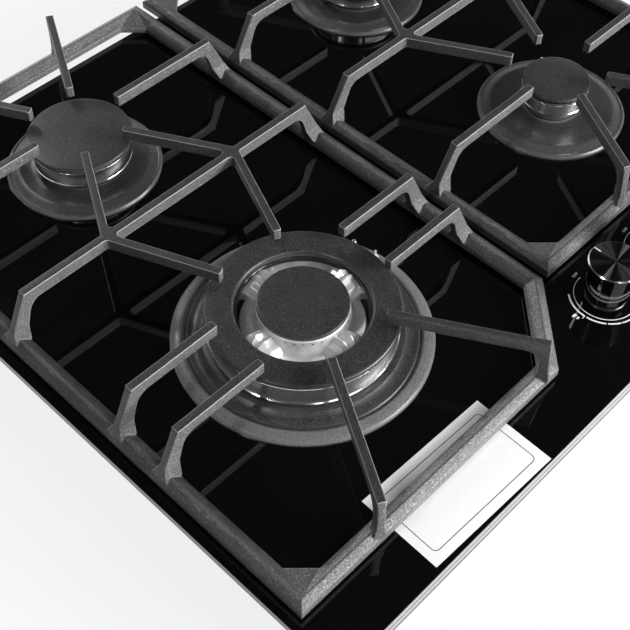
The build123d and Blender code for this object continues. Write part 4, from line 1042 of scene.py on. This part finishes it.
class COOKTOP_OT_under_tray(bpy.types.Operator):
    """Finishes the tray and everything inside it"""
    bl_idname = "cooktop.under_tray"
    bl_label = "Tray and Fittings"

    def execute(self, context):
        sheet = spangled_steel()
        steel = plain_metal("plated_steel", 0.62, 0.34)
        alloy = plain_metal("tap_alloy", 0.58, 0.42)
        brass = plain_metal("turned_brass", 0.75, 0.30, (1.0, 0.78, 0.40))
        plastic = moulding("black_plastic", 0.022, 0.45)
        for node in ("bottom_tray", "burner_straps"):
            paint(node, sheet)
        for node in ("m3_screws", "tray_screws", "tap_bonnets", "gas_rail"):
            paint(node, steel)
        for node in ("ignition_switches", "ignition_module", "terminal_block", "cable_gland"):
            paint(node, plastic)
        paint("gas_taps", alloy)
        paint("gas_inlet_elbow", brass)
        paint("feed_pipes", plain_metal("feed_pipe_alloy", 0.70, 0.30))
        paint("ignition_leads", braid("silicone_sleeve", (0.42, 0.05, 0.03), 900.0))
        paint("thermocouple_leads", braid("copper_capillary", (0.60, 0.30, 0.16), 600.0))
        wire = plain_metal("spring_wire", 0.60, 0.25)
        for k in KNOBS:
            paint(f"tap_cone_{k}", brass)
            paint(f"tap_spindle_{k}", steel)
            self.coil(k, wire)
        return {"FINISHED"}

    def coil(self, k, metal):
        """The spring under a spindle's collar: a coiled wire."""
        low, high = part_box(f"spindle_spring_{k}")
        centre = middle(f"spindle_spring_{k}")
        wire, gap, stroke = 0.85 * MM, 0.15 * MM, 4.0 * MM
        turns, steps = 4, 22
        reach = (high.x - low.x) / 2 - wire
        rise = high.z - low.z - 2 * (wire + gap)
        bm = bmesh.new()
        start = Vector((centre.x + reach, centre.y, low.z + wire + gap))
        place = Matrix.Translation(start) @ Matrix.Rotation(math.radians(90), 4, "X")
        ring = bmesh.ops.create_circle(
            bm, cap_ends=True, segments=12, radius=wire, matrix=place,
        )["verts"]
        bmesh.ops.spin(
            bm, geom=list(ring[0].link_faces), cent=centre, axis=(0, 0, 1), angle=math.tau * turns,
            steps=steps * turns, dvec=(0, 0, rise / (steps * turns)),
        )
        piece = add_piece(f"spindle_coil_{k}", bm, metal, f"tap_plug_{k}", 50.0)
        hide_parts(f"spindle_spring_{k}")
        slot_of(f"spindle_spring_{k}")
        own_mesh(piece)


class COOKTOP_OT_stage(bpy.types.Operator):
    """Sets the floor, backdrop, lamps and camera"""
    bl_idname = "cooktop.stage"
    bl_label = "Stage"

    def execute(self, context):
        look = context.scene.cooktop_stage
        scene = context.scene
        scene.view_settings.view_transform = "Standard"
        self.floor(look)
        self.world(scene, look)
        self.lamps()
        self.camera(scene, look)
        return {"FINISHED"}

    def floor(self, look):
        """A round floor that curves up into a low backdrop on every side."""
        outline = [
            (0.0, 0.0), (2200.0, 0.0), (2550.0, 60.0), (2800.0, 250.0), (2900.0, 600.0),
            (2900.0, 1300.0),
        ]
        mesh = set_down("studio_floor", lathe(outline, Vector(), 96, closed=False))
        mesh.shade_smooth()
        floor = put("studio_floor", mesh)
        f = Finish("studio_floor", Roughness=0.9, Specular_IOR_Level=0.1)
        paper = f.noise(30.0, 3.0, 0.5)
        f.set("Base Color", f.mix(paper * 0.1, tuple(look.floor_colour), grey(0.86)))
        f.lightened(look.floor_lift)
        mesh.materials.append(f.material)

    def world(self, scene, look):
        world = bpy.data.worlds.new("studio")
        scene.world = world
        world.use_nodes = True
        background = world.node_tree.nodes["Background"]
        background.inputs["Color"].default_value = (1.0, 1.0, 1.0, 1.0)
        background.inputs["Strength"].default_value = look.world_level

    def lamps(self):
        """A large low soft box in front, at the right, and smaller ones in front, left and behind.

        Each has its azimuth and elevation in degrees, its distance, width and height in metres,
        and the level at which it lights a surface that faces it.
        """
        target = Vector((0.0, 0.0, 0.07))
        boxes = (
            ("front_box", -62.0, 24.0, 2.2, 1.3, 0.8, 1.50),
            ("side_box", -98.0, 50.0, 2.1, 1.15, 0.7, 0.17),
            ("left_box", 178.0, 50.0, 2.0, 0.16, 0.6, 0.15),
            ("back_box", 86.0, 38.0, 2.2, 0.4, 1.0, 0.20),
        )
        for name, azimuth, elevation, distance, width, height, level in boxes:
            lamp = bpy.data.lights.new(name, "AREA")
            lamp.shape = "RECTANGLE"
            lamp.size = width
            lamp.size_y = height
            lamp.energy = level * (math.pi * distance) ** 2
            holder = put(name, lamp)
            turn = Matrix.Rotation(math.radians(azimuth), 4, "Z")
            tilt = Matrix.Rotation(math.radians(-elevation), 4, "Y")
            holder.location = target + turn @ tilt @ Vector((distance, 0, 0))
            aim = target - holder.location
            holder.rotation_euler = aim.to_track_quat("-Z", "Y").to_euler()
            holder.visible_camera = False

    def camera(self, scene, look):
        """The photograph's own viewing angle."""
        lens = bpy.data.cameras.new("photo_camera")
        lens.sensor_width = 36.0
        lens.lens = look.lens
        lens.clip_start = 0.01
        camera = put("photo_camera", lens)
        # Solved from the photograph: which way its right and its down point, and its place in
        # millimetres from the middle of the glass's top.
        right = Vector((0.69702, -0.71692, 0.01342))
        down = Vector((-0.55346, -0.54981, -0.62561))
        forward = right.cross(down)
        turn = Matrix((right, -down, -forward)).transposed().to_4x4()
        place = Vector((-490.66, -404.05, 616.04)) * MM + Vector((0, 0, GLASS))
        camera.matrix_world = Matrix.Translation(place) @ turn
        scene.camera = camera


class COOKTOP_PT_panel(bpy.types.Panel):
    """Shows the cooktop's settings and buttons in the sidebar"""
    bl_label = "Gas Cooktop"
    bl_space_type = "VIEW_3D"
    bl_region_type = "UI"
    bl_category = "Cooktop"

    def draw(self, context):
        for name in GROUPS:
            box = self.layout.box()
            group = getattr(context.scene, name)
            for field in group.bl_rna.properties:
                if field.identifier not in ("name", "rna_type"):
                    box.prop(group, field.identifier)
        for operator in OPERATORS:
            self.layout.operator(operator.bl_idname)


GROUPS = {
    "cooktop_knobs": CooktopKnobs,
    "cooktop_scales": CooktopScales,
    "cooktop_castings": CooktopCastings,
    "cooktop_stage": CooktopStage,
}
OPERATORS = (
    COOKTOP_OT_glass,
    COOKTOP_OT_pan_supports,
    COOKTOP_OT_burners,
    COOKTOP_OT_knobs,
    COOKTOP_OT_scales,
    COOKTOP_OT_under_tray,
    COOKTOP_OT_stage,
)


def register():
    for group in GROUPS.values():
        bpy.utils.register_class(group)
    for operator in OPERATORS:
        bpy.utils.register_class(operator)
    bpy.utils.register_class(COOKTOP_PT_panel)
    for name, group in GROUPS.items():
        setattr(bpy.types.Scene, name, PointerProperty(type=group))


def unregister():
    for name in GROUPS:
        delattr(bpy.types.Scene, name)
    bpy.utils.unregister_class(COOKTOP_PT_panel)
    for operator in reversed(OPERATORS):
        bpy.utils.unregister_class(operator)
    for group in GROUPS.values():
        bpy.utils.unregister_class(group)


def main():
    """Registers the add-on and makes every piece."""
    register()
    bpy.ops.cooktop.glass()
    bpy.ops.cooktop.pan_supports()
    bpy.ops.cooktop.burners()
    bpy.ops.cooktop.knobs()
    bpy.ops.cooktop.scales()
    bpy.ops.cooktop.under_tray()
    bpy.ops.cooktop.stage()
    bpy.context.view_layer.update()


if __name__ == "__main__":
    main()
